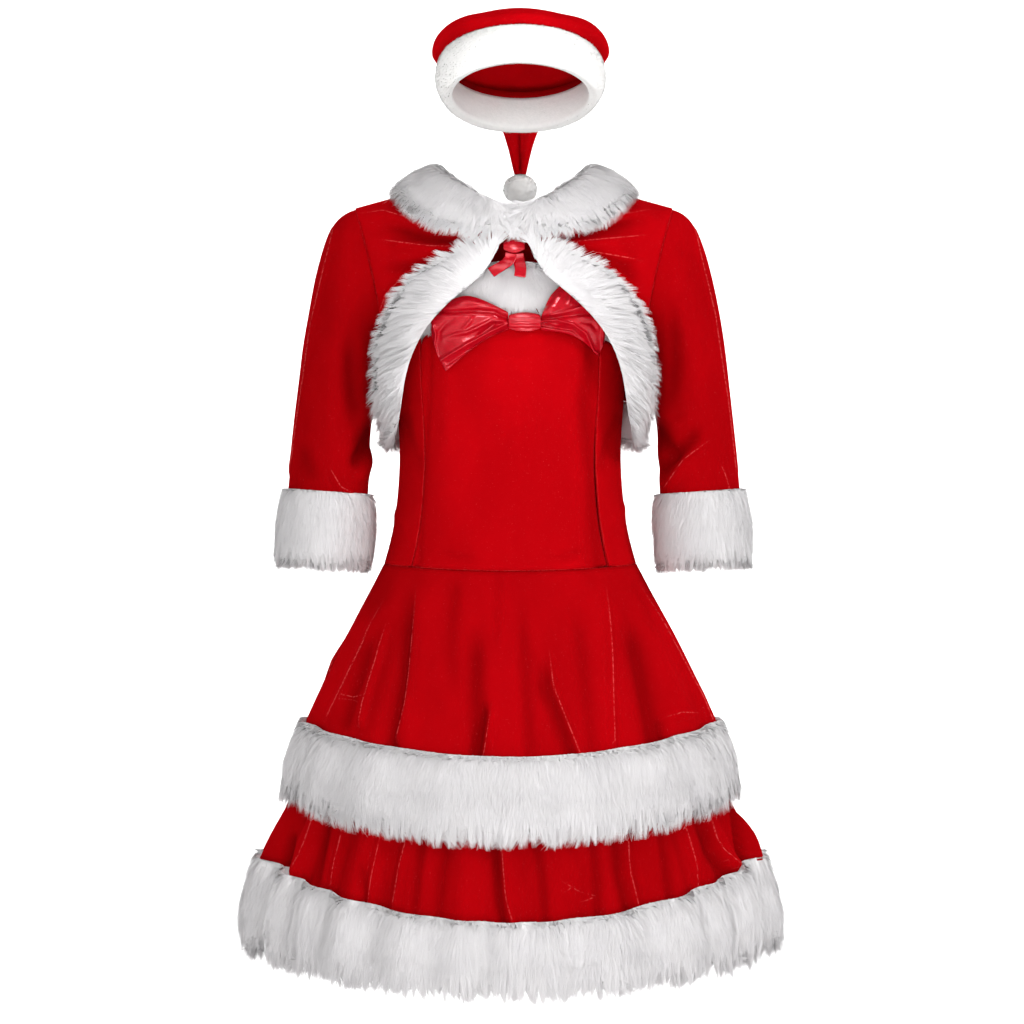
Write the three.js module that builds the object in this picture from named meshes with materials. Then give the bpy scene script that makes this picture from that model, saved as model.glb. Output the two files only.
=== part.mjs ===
// A Christmas costume set as it is worn: a strapless tiered dress, a short jacket over it, a stocking hat above.
// Millimetres. The front faces -Y, +X is the wearer's left side and +Z is up.
// The origin is the middle of the wearer's neck at shoulder height, where the wearer holds the set up.
import * as THREE from 'three';

// Cloth and seams
const VELVET = 2;
const HAT_VELVET = 1.6;
const SEAM_GAP = 0.4;
const TRIM_GAP = 0.9;

// Levels of the dress down its side, and how many columns its tiers have in each half
const BUST_EDGE_FRONT = -129;
const BUST_EDGE_SIDE = -166;
const BUST_EDGE_BACK = -184;
const WAIST_SEAM = -389;
const UPPER_EDGE = -557;
const UPPER_FUR_EDGE = -638;
const LOWER_TOP = -553;
const LOWER_EDGE = -699;
const HEM = -800;
const UPPER_COLUMNS = 40;
const LOWER_COLUMNS = 60;
const PRINCESS_TURN = 50;

// The bodice from above the bust to the waist seam, as half sizes of an oval
const BODICE = [
  { z: -75, wide: 113, front: 84, back: 80 },
  { z: -129, wide: 122, front: 97, back: 88 },
  { z: -175, wide: 124, front: 106, back: 90 },
  { z: -222, wide: 121, front: 100, back: 86 },
  { z: -268, wide: 118, front: 92, back: 83 },
  { z: -310, wide: 120, front: 92, back: 87 },
  { z: -353, wide: 125, front: 96, back: 93 },
  { z: WAIST_SEAM, wide: 135, front: 103, back: 103 },
];
const WAIST_DROP = 6;
const DRESS_X = -4;
const BODICE_ROWS = 7;
// The cut panels of the bodice: the turns that each one spans, and its columns
const BODICE_PANELS = [
  { name: 'bodice_front', from: -PRINCESS_TURN, to: PRINCESS_TURN, count: 14 },
  { name: 'bodice_side_left', from: PRINCESS_TURN, to: 90, count: 5 },
  { name: 'bodice_back', from: 90, to: 270, count: 18 },
  { name: 'bodice_side_right', from: 270, to: 360 - PRINCESS_TURN, count: 5 },
];

// The skirt from the waist seam to the hem. drop is how much lower it hangs at front and back than at the sides
const SKIRT = [
  { z: WAIST_SEAM, wide: 135, front: 103, back: 103, drop: WAIST_DROP },
  { z: -418, wide: 150, front: 113, back: 114, drop: 10 },
  { z: -460, wide: 172, front: 131, back: 132, drop: 17 },
  { z: -506, wide: 194, front: 149, back: 151, drop: 24 },
  { z: UPPER_EDGE, wide: 218, front: 168, back: 170, drop: 29 },
  { z: -597, wide: 228, front: 177, back: 179, drop: 30 },
  { z: UPPER_FUR_EDGE, wide: 238, front: 187, back: 189, drop: 31 },
  { z: -668, wide: 251, front: 199, back: 201, drop: 42 },
  { z: LOWER_EDGE, wide: 261, front: 208, back: 210, drop: 51 },
  { z: -750, wide: 271, front: 217, back: 219, drop: 36 },
  { z: HEM, wide: 275, front: 222, back: 224, drop: 21 },
];
const UPPER_LEVELS = [WAIST_SEAM - SEAM_GAP, -426, -470, -515, UPPER_EDGE];
const LOWER_LEVELS = [LOWER_TOP, UPPER_FUR_EDGE + 8, -664, LOWER_EDGE];

// Soft flutes of the upper tier. turn is the angle from the centre front towards +X, and wide is in degrees too
const UPPER_FLUTES = [
  { turn: -77, wide: 8, high: 10 }, { turn: -57, wide: 7, high: 13 }, { turn: -39, wide: 8, high: 12 },
  { turn: -17, wide: 9, high: 8 }, { turn: 4, wide: 8, high: 9 }, { turn: 22, wide: 7, high: 11 },
  { turn: 41, wide: 8, high: 12 }, { turn: 60, wide: 7, high: 11 }, { turn: 80, wide: 8, high: 10 },
  { turn: 99, wide: 8, high: 9 }, { turn: 118, wide: 8, high: 12 }, { turn: 137, wide: 9, high: 10 },
  { turn: 157, wide: 8, high: 9 }, { turn: 177, wide: 9, high: 10 }, { turn: 196, wide: 8, high: 9 },
  { turn: 217, wide: 9, high: 11 }, { turn: 239, wide: 8, high: 12 }, { turn: 261, wide: 8, high: 10 },
];
const UPPER_FLUTE_MIDDLE = 5;

// Gathers of the lower tier: this many, even but for a wander, and deeper towards the sides
const GATHERS = 28;
const GATHER_WANDER = 2.6;
const GATHER_HEIGHT = 6;
const GATHER_HEIGHT_SIDE = 10;
// Where the lower tier comes clear of the upper tier's fur, how far inside it runs above, and how much of the
// upper tier's flutes and of its own gathers it keeps on each side of that
const LOWER_CLEAR = { from: -UPPER_FUR_EDGE + 3, to: -UPPER_FUR_EDGE + 42 };
const LOWER_INSIDE = 6.2;
const FLUTES_KEPT = 0.35;
const GATHERS_HIDDEN = 0.55;

// The jacket
const SHOULDER_TIP = { x: 170, z: -9 };
const NECK_POINT = new THREE.Vector3(78, 0, 16);
const ARMHOLE = { x: 154, z: -81, lean: 16, half: 72, deep: 50, hollow: 4 };
const SIDE_SEAM = [[130, -214], [133, -192], [136, -172]];
const ARMHOLE_STEPS = 9;
const SHOULDER_STEPS = 6;
const BACK_NECK_STEPS = 6;
// How far the chest and back stand out of a straight panel, and the widths over which the chest's comes in
const CHEST_FULLNESS = 12;
const CHEST_FULL = { from: 70, over: 50 };
const BACK_FULLNESS = 8;

// The sleeve's rings from the armhole down: its outer and inner points in the front view, and its half depth
const SLEEVE = [
  { outX: 170, outZ: -9, inX: 138, inZ: -153, deep: 50, y: 0 },
  { outX: 186, outZ: -15, inX: 143, inZ: -159, deep: 54, y: 0 },
  { outX: 200, outZ: -36, inX: 145.5, inZ: -166, deep: 55, y: 0 },
  { outX: 210, outZ: -68, inX: 147, inZ: -178, deep: 54, y: 0 },
  { outX: 218, outZ: -106, inX: 148, inZ: -194, deep: 52, y: 0 },
  { outX: 227, outZ: -160, inX: 150, inZ: -224, deep: 50, y: -2 },
  { outX: 233, outZ: -218, inX: 152, inZ: -257, deep: 48, y: -5 },
  { outX: 238, outZ: -270, inX: 153.5, inZ: -290, deep: 47, y: -8 },
  { outX: 242, outZ: -312, inX: 155, inZ: -318, deep: 47, y: -10 },
];
const CUFF = { outX: 248, outZ: -390, inX: 159, inZ: -395 };

// The front trim: a fur strip from its seam to its free edge, from the neck down to the hem corner
const FRONT_TRIM = [
  { seam: [44, -100, -54], edge: [4, -106, -50] },
  { seam: [75, -97, -66], edge: [21, -116, -74] },
  { seam: [102, -89, -82], edge: [48, -121, -97] },
  { seam: [123, -78, -102], edge: [74, -116, -120] },
  { seam: [136, -66, -126], edge: [94, -106, -144] },
  { seam: [142, -59, -146], edge: [105, -98, -164] },
  { seam: [145, -54, -166], edge: [112, -91, -183] },
  { seam: [146, -49, -188], edge: [117, -86, -204] },
  { seam: [145, -45, -213], edge: [119, -82, -226] },
  { seam: [143, -41, -215], edge: [123, -71, -256] },
  { seam: [137, -24, -216], edge: [133, -30, -267] },
  { seam: [131, -0.3, -216], edge: [131, -0.3, -268] },
];
const FRONT_TRIM_CORNER = 8;
const BACK_HEM = { wide: 131, deep: 108, seam: -216, edge: -268 };

// The jacket front's neck edge, from the centre front to the shoulder
const FRONT_NECK = [[4, -95, -41], [20, -86, -28], [58, -60, -8]];
const BACK_NECK = { y: 82, z: -8 };

// The collar: its roll line and its fallen edge, and which way its fur stands, at turns from the centre front
const COLLAR = [
  { roll: [2, -83, -16], fall: [2, -104, -43], lean: [0, -0.9, 0.42] },
  { roll: [32, -75, -5], fall: [46, -105, -48], lean: [0.2, -0.85, 0.45] },
  { roll: [60, -52, 13], fall: [90, -88, -36], lean: [0.36, -0.66, 0.62] },
  { roll: [74, -25, 25], fall: [118, -52, -14], lean: [0.4, -0.3, 0.85] },
  { roll: [78, 2, 28], fall: [129, 2, 4], lean: [0.36, 0, 0.93] },
  { roll: [74, 29, 24], fall: [120, 56, -12], lean: [0.4, 0.3, 0.85] },
  { roll: [59, 55, 11], fall: [92, 94, -37], lean: [0.36, 0.66, 0.62] },
  { roll: [30, 73, 0], fall: [47, 116, -52], lean: [0.16, 0.85, 0.48] },
  { roll: [0, 78, -4], fall: [0, 121, -57], lean: [0, 0.88, 0.45] },
];
const COLLAR_RUNS = 40;

// The hat: its mouth's middle, the backward tilt of its axis, and the band
const HAT_X = 7;
const HAT_MOUTH = { y: 0, z: 108, tilt: 18 };
const HAT_BAND = { high: 42, wideTop: 84, deepTop: 91, wideMouth: 81, deepMouth: 88 };
// The crown's rings from the band over the top and down behind: fore and aft points, and half width
const CROWN = [
  { foreY: -80, foreZ: 187, aftY: 109, aftZ: 127, wide: 92 },
  { foreY: -62, foreZ: 197, aftY: 115, aftZ: 129, wide: 93 },
  { foreY: -22, foreZ: 203, aftY: 119, aftZ: 126, wide: 89 },
  { foreY: 28, foreZ: 202, aftY: 121, aftZ: 121, wide: 80 },
  { foreY: 74, foreZ: 193, aftY: 122, aftZ: 115, wide: 67 },
  { foreY: 112, foreZ: 177, aftY: 122, aftZ: 108, wide: 52 },
  { foreY: 137, foreZ: 149, aftY: 122, aftZ: 101, wide: 38 },
  { foreY: 147, foreZ: 118, aftY: 122, aftZ: 92, wide: 27 },
  { foreY: 147, foreZ: 92, aftY: 122, aftZ: 80, wide: 19 },
  { foreY: 141, foreZ: 70, aftY: 122, aftZ: 66, wide: 13 },
  { foreY: 136, foreZ: 40.6, aftY: 123, aftZ: 40.6, wide: 7 },
];
const TAIL_PLEATS = { from: 5, waves: 4, deep: 0.13 };
const POMPOM = { y: 129.5, z: 24, wide: 20, high: 17 };

// The bow on the bust, and the ribbon that ties the jacket's neck: sections across each loop
const BOW_RIGHT = [
  { x: -6, top: -127, bottom: -145, thick: 8 }, { x: -25, top: -117, bottom: -151, thick: 13 },
  { x: -51, top: -106, bottom: -170, thick: 17 }, { x: -71, top: -117, bottom: -188, thick: 16 },
  { x: -82, top: -123, bottom: -169, thick: 12 }, { x: -87, top: -129, bottom: -145, thick: 6 },
];
const BOW_LEFT = [
  { x: 28, top: -129, bottom: -145, thick: 8 }, { x: 37, top: -109, bottom: -146, thick: 12 },
  { x: 56, top: -91, bottom: -148, thick: 15 }, { x: 74, top: -97, bottom: -156, thick: 14 },
  { x: 87, top: -106, bottom: -171, thick: 11 }, { x: 95, top: -122, bottom: -158, thick: 8 },
];
const BOW_KNOT = { x: 11, z: -137, wide: 16.6, high: 10.5, thick: 11, seat: 3 };
const BOW_CLEARANCE = 0.1;
const NECK_FUR_REACH = 14.5;
// The height over which the bow comes up onto the neckline's fur
const BOW_RISE = 8;
// How much the jacket's sides press the neckline fur flat
const ARM_FLATTENS = 0.21;
const TIE = { knotY: -102.5, knotZ: -58, knotWide: 11, knotHigh: 8, knotDeep: 4, ribbon: 12, thick: 1.6 };

// The tie's two tails, as points below the knot
const TIE_TAILS = [
  { name: 'tie_tail_right', line: [[-3, -1.6, 0.5], [-5, -2.6, -7], [-13, -7, -13], [-24, -10, -20]] },
  { name: 'tie_tail_left', line: [[4, 1.7, 0.5], [5, 1, -7], [7, -3, -15], [6, -6, -24]] },
];

// How high the neckline's fur stands above the bust edge, at its middle and how much more at the front
const NECK_FUR_HIGH = 50;
const NECK_FUR_HIGHER = 4;
// How much of the cloth's waves a skirt's fur band keeps at its free edge, and its ends' way from a side seam
const WAVES_KEPT = 0.8;
const SIDE_SEAM_TURN = 0.05;
// The bow's soft ridges, as a share of its thickness
const BOW_RIDGES = 0.22;

// Fur strip outlines: the share of the way from the seam to the free edge, and how far the fur stands off there
const SKIRT_FUR = [[0, 4.5], [0.2, 11], [0.6, 14], [1, 4.5], [1, -2], [0.5, -2.2], [0, -2]];
const HEM_FUR = [[0, 5.5], [0.2, 13], [0.65, 17], [1, 6], [1, -2], [0.5, -2.2], [0, -2]];
const TRIM_FUR = [[0.02, 4], [0.18, 10.5], [0.5, 13], [0.85, 10], [1, 3], [1, -1.6], [0.5, -2], [0.08, -0.6]];
const COLLAR_FUR = [[0, 7], [0.15, 13], [0.5, 16], [0.85, 13], [1, 7], [1, 3], [0.5, 2.6], [0, 1]];
const NECK_FUR = [[0, 4], [0.2, 10], [0.6, 12.5], [1, 3.5], [1, -2], [0.5, -2.2], [0, -2]];
const CUFF_FUR = [[0, 5], [0.1, 9.5], [0.5, 11.5], [0.88, 9.5], [1, 4.5], [1, -3], [0.5, -3.5], [0, -2.5]];
const BAND_FUR = [[0, 4], [0.25, 10], [0.7, 10], [1, 1], [0.96, -8], [0.5, -10], [0.02, -5]];

const RED = new THREE.MeshStandardMaterial({ color: 0xb80210, roughness: 0.8, metalness: 0 });
const WHITE_FUR = new THREE.MeshStandardMaterial({ color: 0xf2f0ee, roughness: 0.95, metalness: 0 });
const SATIN = new THREE.MeshStandardMaterial({ color: 0xd0142c, roughness: 0.35, metalness: 0 });

const radians = THREE.MathUtils.degToRad;
const point = (row) => new THREE.Vector3(...row);
const mirrored = (p) => new THREE.Vector3(-p.x, p.y, p.z);
const steps = (count) => Array.from({ length: count + 1 }, (_, i) => i);

// A column of a table whose rows go down in z, read smoothly at any level
function column(table, name, z) {
  let i = 0;
  while (i < table.length - 2 && z < table[i + 1].z) i += 1;
  const value = (k) => table[Math.min(Math.max(k, 0), table.length - 1)][name];
  const level = (k) => table[Math.min(Math.max(k, 0), table.length - 1)].z;
  const span = level(i + 1) - level(i);
  const t = (z - level(i)) / span;
  const slope = (k) => {
    const across = level(k + 1) - level(k - 1);
    return across === 0 ? 0 : ((value(k + 1) - value(k - 1)) / across) * span;
  };
  const t2 = t * t;
  const t3 = t2 * t;
  return (2 * t3 - 3 * t2 + 1) * value(i) + (t3 - 2 * t2 + t) * slope(i)
    + (3 * t2 - 2 * t3) * value(i + 1) + (t3 - t2) * slope(i + 1);
}

// A point of an oval tube at a turn from the centre front, out from the table's size
function ovalPoint(table, turn, z, out, sink = 0) {
  const a = radians(turn);
  const deep = column(table, Math.cos(a) > 0 ? 'front' : 'back', z);
  return new THREE.Vector3(
    (column(table, 'wide', z) + out) * Math.sin(a),
    -(deep + out) * Math.cos(a),
    z - sink * Math.cos(a) ** 2,
  );
}

const skirtPoint = (turn, z, out) => ovalPoint(SKIRT, turn, z, out, column(SKIRT, 'drop', z));
const bodicePoint = (turn, z, out = 0) => ovalPoint(BODICE, turn, z, out);

const turnApart = (a, b) => ((a - b + 540) % 360) - 180;

// How far the upper tier stands off its oval at a turn, once its flutes have opened
function upperFlute(turn) {
  const high = UPPER_FLUTES.reduce(
    (sum, f) => sum + f.high * Math.exp(-((turnApart(turn, f.turn) / f.wide) ** 2)), 0);
  return high - UPPER_FLUTE_MIDDLE;
}

function upperOut(turn, z) {
  const opened = THREE.MathUtils.clamp((WAIST_SEAM - z) / (WAIST_SEAM - UPPER_EDGE), 0, 1);
  return upperFlute(turn) * Math.sin(opened * Math.PI / 2);
}

// The lower tier's gathers, from -1 in a valley to 1 on a ridge
function gather(turn) {
  const wander = GATHER_WANDER * (Math.sin(radians(3 * turn + 40)) + Math.sin(radians(7 * turn)));
  return Math.cos(radians(GATHERS * (turn + wander)));
}

const gatherHeight = (turn) => THREE.MathUtils.lerp(
  GATHER_HEIGHT, GATHER_HEIGHT_SIDE, Math.sin(radians(turn)) ** 6);

// The lower tier keeps inside the upper tier and its fur band, and opens below them
function lowerOut(turn, z) {
  const opened = THREE.MathUtils.smoothstep(-z, LOWER_CLEAR.from, LOWER_CLEAR.to);
  const hidden = 1 - opened;
  const flutes = upperOut(turn, z) * THREE.MathUtils.lerp(1, FLUTES_KEPT, opened);
  const gathers = (gather(turn) - hidden) * THREE.MathUtils.lerp(GATHERS_HIDDEN, 1, opened);
  return flutes + gatherHeight(turn) * gathers - LOWER_INSIDE * hidden;
}

// One closed body from a flat list of points and the triangles between them, turned to face outwards
function solid(points, triangles) {
  let volume = 0;
  for (const [a, b, c] of triangles) {
    volume += points[a].dot(new THREE.Vector3().crossVectors(points[b], points[c]));
  }
  const facing = volume > 0 ? triangles : triangles.map(([a, b, c]) => [a, c, b]);
  const geometry = new THREE.BufferGeometry();
  geometry.setAttribute('position', new THREE.Float32BufferAttribute(points.flatMap((p) => p.toArray()), 3));
  geometry.setIndex(facing.flat());
  geometry.computeVertexNormals();
  return geometry;
}

const quad = (a, b, c, d) => [[a, b, c], [a, c, d]];

// A body through equal closed sections. A ring joins its last section to its first, and an open run is capped
function loft(sections, ring) {
  const size = sections[0].length;
  const points = sections.flat();
  const triangles = [];
  const runs = ring ? sections.length : sections.length - 1;
  for (let i = 0; i < runs; i += 1) {
    const here = i * size;
    const next = ((i + 1) % sections.length) * size;
    for (let k = 0; k < size; k += 1) {
      const up = (k + 1) % size;
      triangles.push(...quad(here + k, here + up, next + up, next + k));
    }
  }
  if (!ring) {
    const last = (sections.length - 1) * size;
    for (let k = 1; k < size - 1; k += 1) {
      triangles.push([0, k + 1, k], [last, last + k, last + k + 1]);
    }
  }
  return solid(points, triangles);
}

// Cloth panels that share seams. Each is a grid of points on the cloth's outer side, and the wall
// goes inwards along normals that neighbouring panels share, so that seams stay even through the thickness
class Cloth {
  constructor(thickness, gap = SEAM_GAP) {
    this.thickness = thickness;
    this.gap = gap;
    this.panels = [];
    this.normals = new Map();
  }

  static key(p) {
    return [p.x, p.y, p.z].map((v) => Math.round(v * 100)).join(' ');
  }

  // inside gives a point within the garment for any point on the cloth, to tell the outer side from the inner
  add(name, columns, inside, ring = false) {
    const count = columns.length;
    const cells = [];
    for (let i = 0; i < (ring ? count : count - 1); i += 1) {
      for (let j = 0; j < columns[0].length - 1; j += 1) {
        const next = (i + 1) % count;
        cells.push([columns[i][j], columns[next][j], columns[next][j + 1], columns[i][j + 1]]);
      }
    }
    const normalOf = ([a, b, c, d]) => new THREE.Vector3().crossVectors(c.clone().sub(a), d.clone().sub(b));
    const outward = (cell) => normalOf(cell).dot(cell[0].clone().sub(inside(cell[0])));
    const facing = cells.reduce((sum, cell) => sum + outward(cell), 0);
    for (const cell of cells) {
      const normal = normalOf(cell).multiplyScalar(Math.sign(facing));
      for (const corner of cell) {
        const key = Cloth.key(corner);
        if (!this.normals.has(key)) this.normals.set(key, new THREE.Vector3());
        this.normals.get(key).add(normal);
      }
    }
    this.panels.push({ name, columns, ring });
  }

  // Every panel as a closed wall, with its borders drawn back by half of the seam gap
  walls() {
    return this.panels.map(({ name, columns, ring }) => {
      const [wide, long] = [columns.length, columns[0].length];
      const outer = columns.map((c) => c.map((p) => p.clone()));
      const draw = (i, j, towardsI, towardsJ) => {
        const way = columns[towardsI][towardsJ].clone().sub(columns[i][j]).setLength(this.gap / 2);
        outer[i][j].add(way);
      };
      for (let i = 0; i < wide; i += 1) {
        draw(i, 0, i, 1);
        draw(i, long - 1, i, long - 2);
      }
      if (!ring) {
        for (let j = 0; j < long; j += 1) {
          draw(0, j, 1, j);
          draw(wide - 1, j, wide - 2, j);
        }
      }
      const inner = outer.map((c, i) => c.map((p, j) => {
        const normal = this.normals.get(Cloth.key(columns[i][j])).clone().normalize();
        return p.clone().addScaledVector(normal, -this.thickness);
      }));
      return { name, geometry: Cloth.shell(outer, inner, ring) };
    });
  }

  // A wall between two grids of points. Both are split along the same diagonals, so the wall stays even
  static shell(outer, inner, ring) {
    const long = outer[0].length;
    const points = [...outer.flat(), ...inner.flat()];
    const at = (i, j) => (i % outer.length) * long + j;
    const half = outer.length * long;
    const triangles = [];
    const runs = ring ? outer.length : outer.length - 1;
    for (let i = 0; i < runs; i += 1) {
      for (let j = 0; j < long - 1; j += 1) {
        const cell = [at(i, j), at(i, j + 1), at(i + 1, j + 1), at(i + 1, j)];
        triangles.push(...quad(...cell));
        for (const [a, b, c] of quad(...cell)) triangles.push([half + a, half + c, half + b]);
      }
    }
    const rim = (a, b) => triangles.push(...quad(b, a, half + a, half + b));
    for (let i = 0; i < runs; i += 1) {
      rim(at(i + 1, 0), at(i, 0));
      rim(at(i, long - 1), at(i + 1, long - 1));
    }
    if (!ring) {
      for (let j = 0; j < long - 1; j += 1) {
        rim(at(0, j), at(0, j + 1));
        rim(at(runs, j + 1), at(runs, j));
      }
    }
    return solid(points, triangles);
  }
}

// A strip of fur: each section is the outline, laid from the seam to the free edge and out along the pile
function furStrip(seams, edges, piles, outline, ring) {
  const sections = seams.map((seam, i) => outline.map(([along, out]) => (
    seam.clone().lerp(edges[i], along).addScaledVector(piles[i], out))));
  return loft(sections, ring);
}

// The way a strip's fur stands, square to the strip and away from the inside
function pilesOf(seams, edges, inside, ring) {
  const count = seams.length;
  return seams.map((seam, i) => {
    const before = ring ? (i + count - 1) % count : Math.max(i - 1, 0);
    const after = ring ? (i + 1) % count : Math.min(i + 1, count - 1);
    const middle = (k) => seams[k].clone().add(edges[k]).multiplyScalar(0.5);
    const along = middle(after).sub(middle(before));
    const pile = along.cross(edges[i].clone().sub(seam)).normalize();
    return pile.dot(middle(i).sub(inside(seam))) < 0 ? pile.negate() : pile;
  });
}

function smooth(rows, count) {
  return new THREE.CatmullRomCurve3(rows.map(point), false, 'centripetal').getPoints(count);
}

const set = new THREE.Group();
set.name = 'christmas_costume_set';

function addPiece(group, name, geometry, material) {
  const mesh = new THREE.Mesh(geometry, material);
  mesh.name = name;
  group.add(mesh);
}

const onAxis = (p) => new THREE.Vector3(0, 0, p.z);

// The dress

const bustEdge = (turn) => {
  const side = Math.sin(radians(turn)) ** 2;
  const end = Math.cos(radians(turn)) > 0 ? BUST_EDGE_FRONT : BUST_EDGE_BACK;
  return THREE.MathUtils.lerp(end, BUST_EDGE_SIDE, side);
};

function turnsBetween(from, to, count) {
  return steps(count).map((i) => from + ((to - from) * i) / count);
}

const waistEdge = (turn) => WAIST_SEAM - WAIST_DROP * Math.cos(radians(turn)) ** 2;

function addBodice(dress) {
  const cloth = new Cloth(VELVET);
  for (const { name, from, to, count } of BODICE_PANELS) {
    const columns = turnsBetween(from, to, count).map((turn) => steps(BODICE_ROWS).map((j) => (
      bodicePoint(turn, THREE.MathUtils.lerp(bustEdge(turn), waistEdge(turn), j / BODICE_ROWS)))));
    cloth.add(name, columns, onAxis);
  }
  for (const { name, geometry } of cloth.walls()) addPiece(dress, name, geometry, RED);
}

function addNecklineFur(dress) {
  const turns = turnsBetween(0, 360, 32).slice(0, -1);
  const high = (turn) => NECK_FUR_HIGH + NECK_FUR_HIGHER * Math.cos(radians(turn));
  const seams = turns.map((turn) => bodicePoint(turn, bustEdge(turn) + SEAM_GAP / 2));
  const edges = turns.map((turn) => bodicePoint(turn, bustEdge(turn) + high(turn), -1));
  const piles = pilesOf(seams, edges, onAxis, true);
  piles.forEach((pile, i) => pile.multiplyScalar(1 - ARM_FLATTENS * Math.sin(radians(turns[i])) ** 2));
  addPiece(dress, 'neckline_fur', furStrip(seams, edges, piles, NECK_FUR, true), WHITE_FUR);
}

// The skirt's front and back halves of one tier, with side seams
function addTier(dress, name, count, levels, out) {
  const cloth = new Cloth(VELVET);
  for (const [half, from] of [['front', -90], ['back', 90]]) {
    const columns = turnsBetween(from, from + 180, count).map((turn) => (
      levels.map((z) => skirtPoint(turn, z, out(turn, z)))));
    cloth.add(`${name}_${half}`, columns, onAxis);
  }
  for (const { name: piece, geometry } of cloth.walls()) addPiece(dress, piece, geometry, RED);
}

function addSkirtFur(dress, name, count, [top, bottom], outline, out) {
  for (const [half, from] of [['front', -90], ['back', 90]]) {
    const turns = turnsBetween(from, from + 180, count);
    turns[0] += SIDE_SEAM_TURN;
    turns[turns.length - 1] -= SIDE_SEAM_TURN;
    const seams = turns.map((turn) => skirtPoint(turn, top - 2 * SEAM_GAP, out(turn, top)));
    const edges = turns.map((turn) => skirtPoint(turn, bottom, out(turn, top) * WAVES_KEPT));
    const piles = turns.map((turn, i) => {
      const down = edges[i].clone().sub(seams[i]);
      const round = new THREE.Vector3(Math.cos(radians(turn)), Math.sin(radians(turn)), 0);
      const pile = round.cross(down).normalize();
      return pile.dot(seams[i].clone().setZ(0)) < 0 ? pile.negate() : pile;
    });
    addPiece(dress, `${name}_${half}`, furStrip(seams, edges, piles, outline, false), WHITE_FUR);
  }
}

// A loop of the bow: sections across it that follow the bust, with soft ridges that run out from the knot
function bowLoop(rows) {
  const around = 12;
  const sections = rows.map(({ x, top, bottom, thick }) => steps(around - 1).map((k) => {
    const a = (k / around) * 2 * Math.PI;
    const up = Math.cos(a);
    const z = (top + bottom) / 2 + ((top - bottom) / 2) * up;
    const ridge = Math.sin(a) > 0 ? 1 + BOW_RIDGES * Math.cos(3 * Math.PI * up) : 1;
    const out = BOW_CLEARANCE + (thick * (1 + Math.sin(a) * ridge)) / 2;
    return bustFront(x - DRESS_X, z, out);
  }));
  return loft(sections, false);
}

// A point in front of the bust at a place in the front view, clear of the neckline's fur
function bustFront(x, z, out) {
  const near = THREE.MathUtils.radToDeg(Math.asin(x / column(BODICE, 'wide', z)));
  const edge = bustEdge(near);
  const fur = THREE.MathUtils.smoothstep(z, edge - NECK_FUR_REACH, edge + BOW_RISE) * NECK_FUR_REACH;
  const turn = THREE.MathUtils.radToDeg(Math.asin(x / (column(BODICE, 'wide', z) + fur)));
  return bodicePoint(turn, z, fur).add(new THREE.Vector3(0, -out, 0));
}

function addBow(dress) {
  addPiece(dress, 'bow_loop_right', bowLoop(BOW_RIGHT), SATIN);
  addPiece(dress, 'bow_loop_left', bowLoop(BOW_LEFT), SATIN);
  const { x, z, wide, high, thick } = BOW_KNOT;
  const seat = bustFront(x - DRESS_X, z - high, BOW_CLEARANCE);
  const middle = seat.y - thick / 2 - BOW_KNOT.seat;
  const [half, around] = [3, 9];
  const slab = steps(2 * half).map((i) => {
    const along = (i - half) / half;
    const across = x - DRESS_X + along * wide;
    const plump = Math.sqrt(1 - (0.75 * along) ** 2);
    return steps(around - 1).map((k) => {
      const a = (k / around) * 2 * Math.PI;
      return new THREE.Vector3(
        across, middle - (thick / 2) * Math.sin(a) * plump, z + high * Math.cos(a) * plump);
    });
  });
  addPiece(dress, 'bow_knot', loft(slab, false), SATIN);
}

function addDress() {
  const dress = new THREE.Group();
  dress.position.x = DRESS_X;
  addBodice(dress);
  addNecklineFur(dress);
  addTier(dress, 'upper_skirt', UPPER_COLUMNS, UPPER_LEVELS, upperOut);
  addTier(dress, 'lower_skirt', LOWER_COLUMNS, LOWER_LEVELS, lowerOut);
  addSkirtFur(dress, 'upper_fur', UPPER_COLUMNS, [UPPER_EDGE, UPPER_FUR_EDGE], SKIRT_FUR, upperOut);
  addSkirtFur(dress, 'hem_fur', LOWER_COLUMNS, [LOWER_EDGE, HEM], HEM_FUR, lowerOut);
  addBow(dress);
  set.add(dress);
}

// The jacket

// The armhole on the +X side. angle 90 is the shoulder tip, 180 the front, 270 the underarm and 0 the back
function armholePoint(angle) {
  const a = radians(angle);
  return new THREE.Vector3(
    ARMHOLE.x + ARMHOLE.lean * Math.sin(a) - ARMHOLE.hollow * Math.cos(a) ** 2,
    ARMHOLE.deep * Math.cos(a),
    ARMHOLE.z + ARMHOLE.half * Math.sin(a),
  );
}

// A jacket panel's edge at the arm, from the hem up the side seam and round the front or back of the armhole
function armEdge(front) {
  const side = SIDE_SEAM.map(([x, z]) => new THREE.Vector3(x, 0, z));
  const way = front ? -180 : 180;
  const hole = steps(ARMHOLE_STEPS).map((i) => armholePoint(270 + (way * i) / ARMHOLE_STEPS));
  return [...side, ...hole];
}

const shoulder = steps(SHOULDER_STEPS).map((i) => (
  new THREE.Vector3(SHOULDER_TIP.x, 0, SHOULDER_TIP.z).lerp(NECK_POINT, i / SHOULDER_STEPS)));

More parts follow.
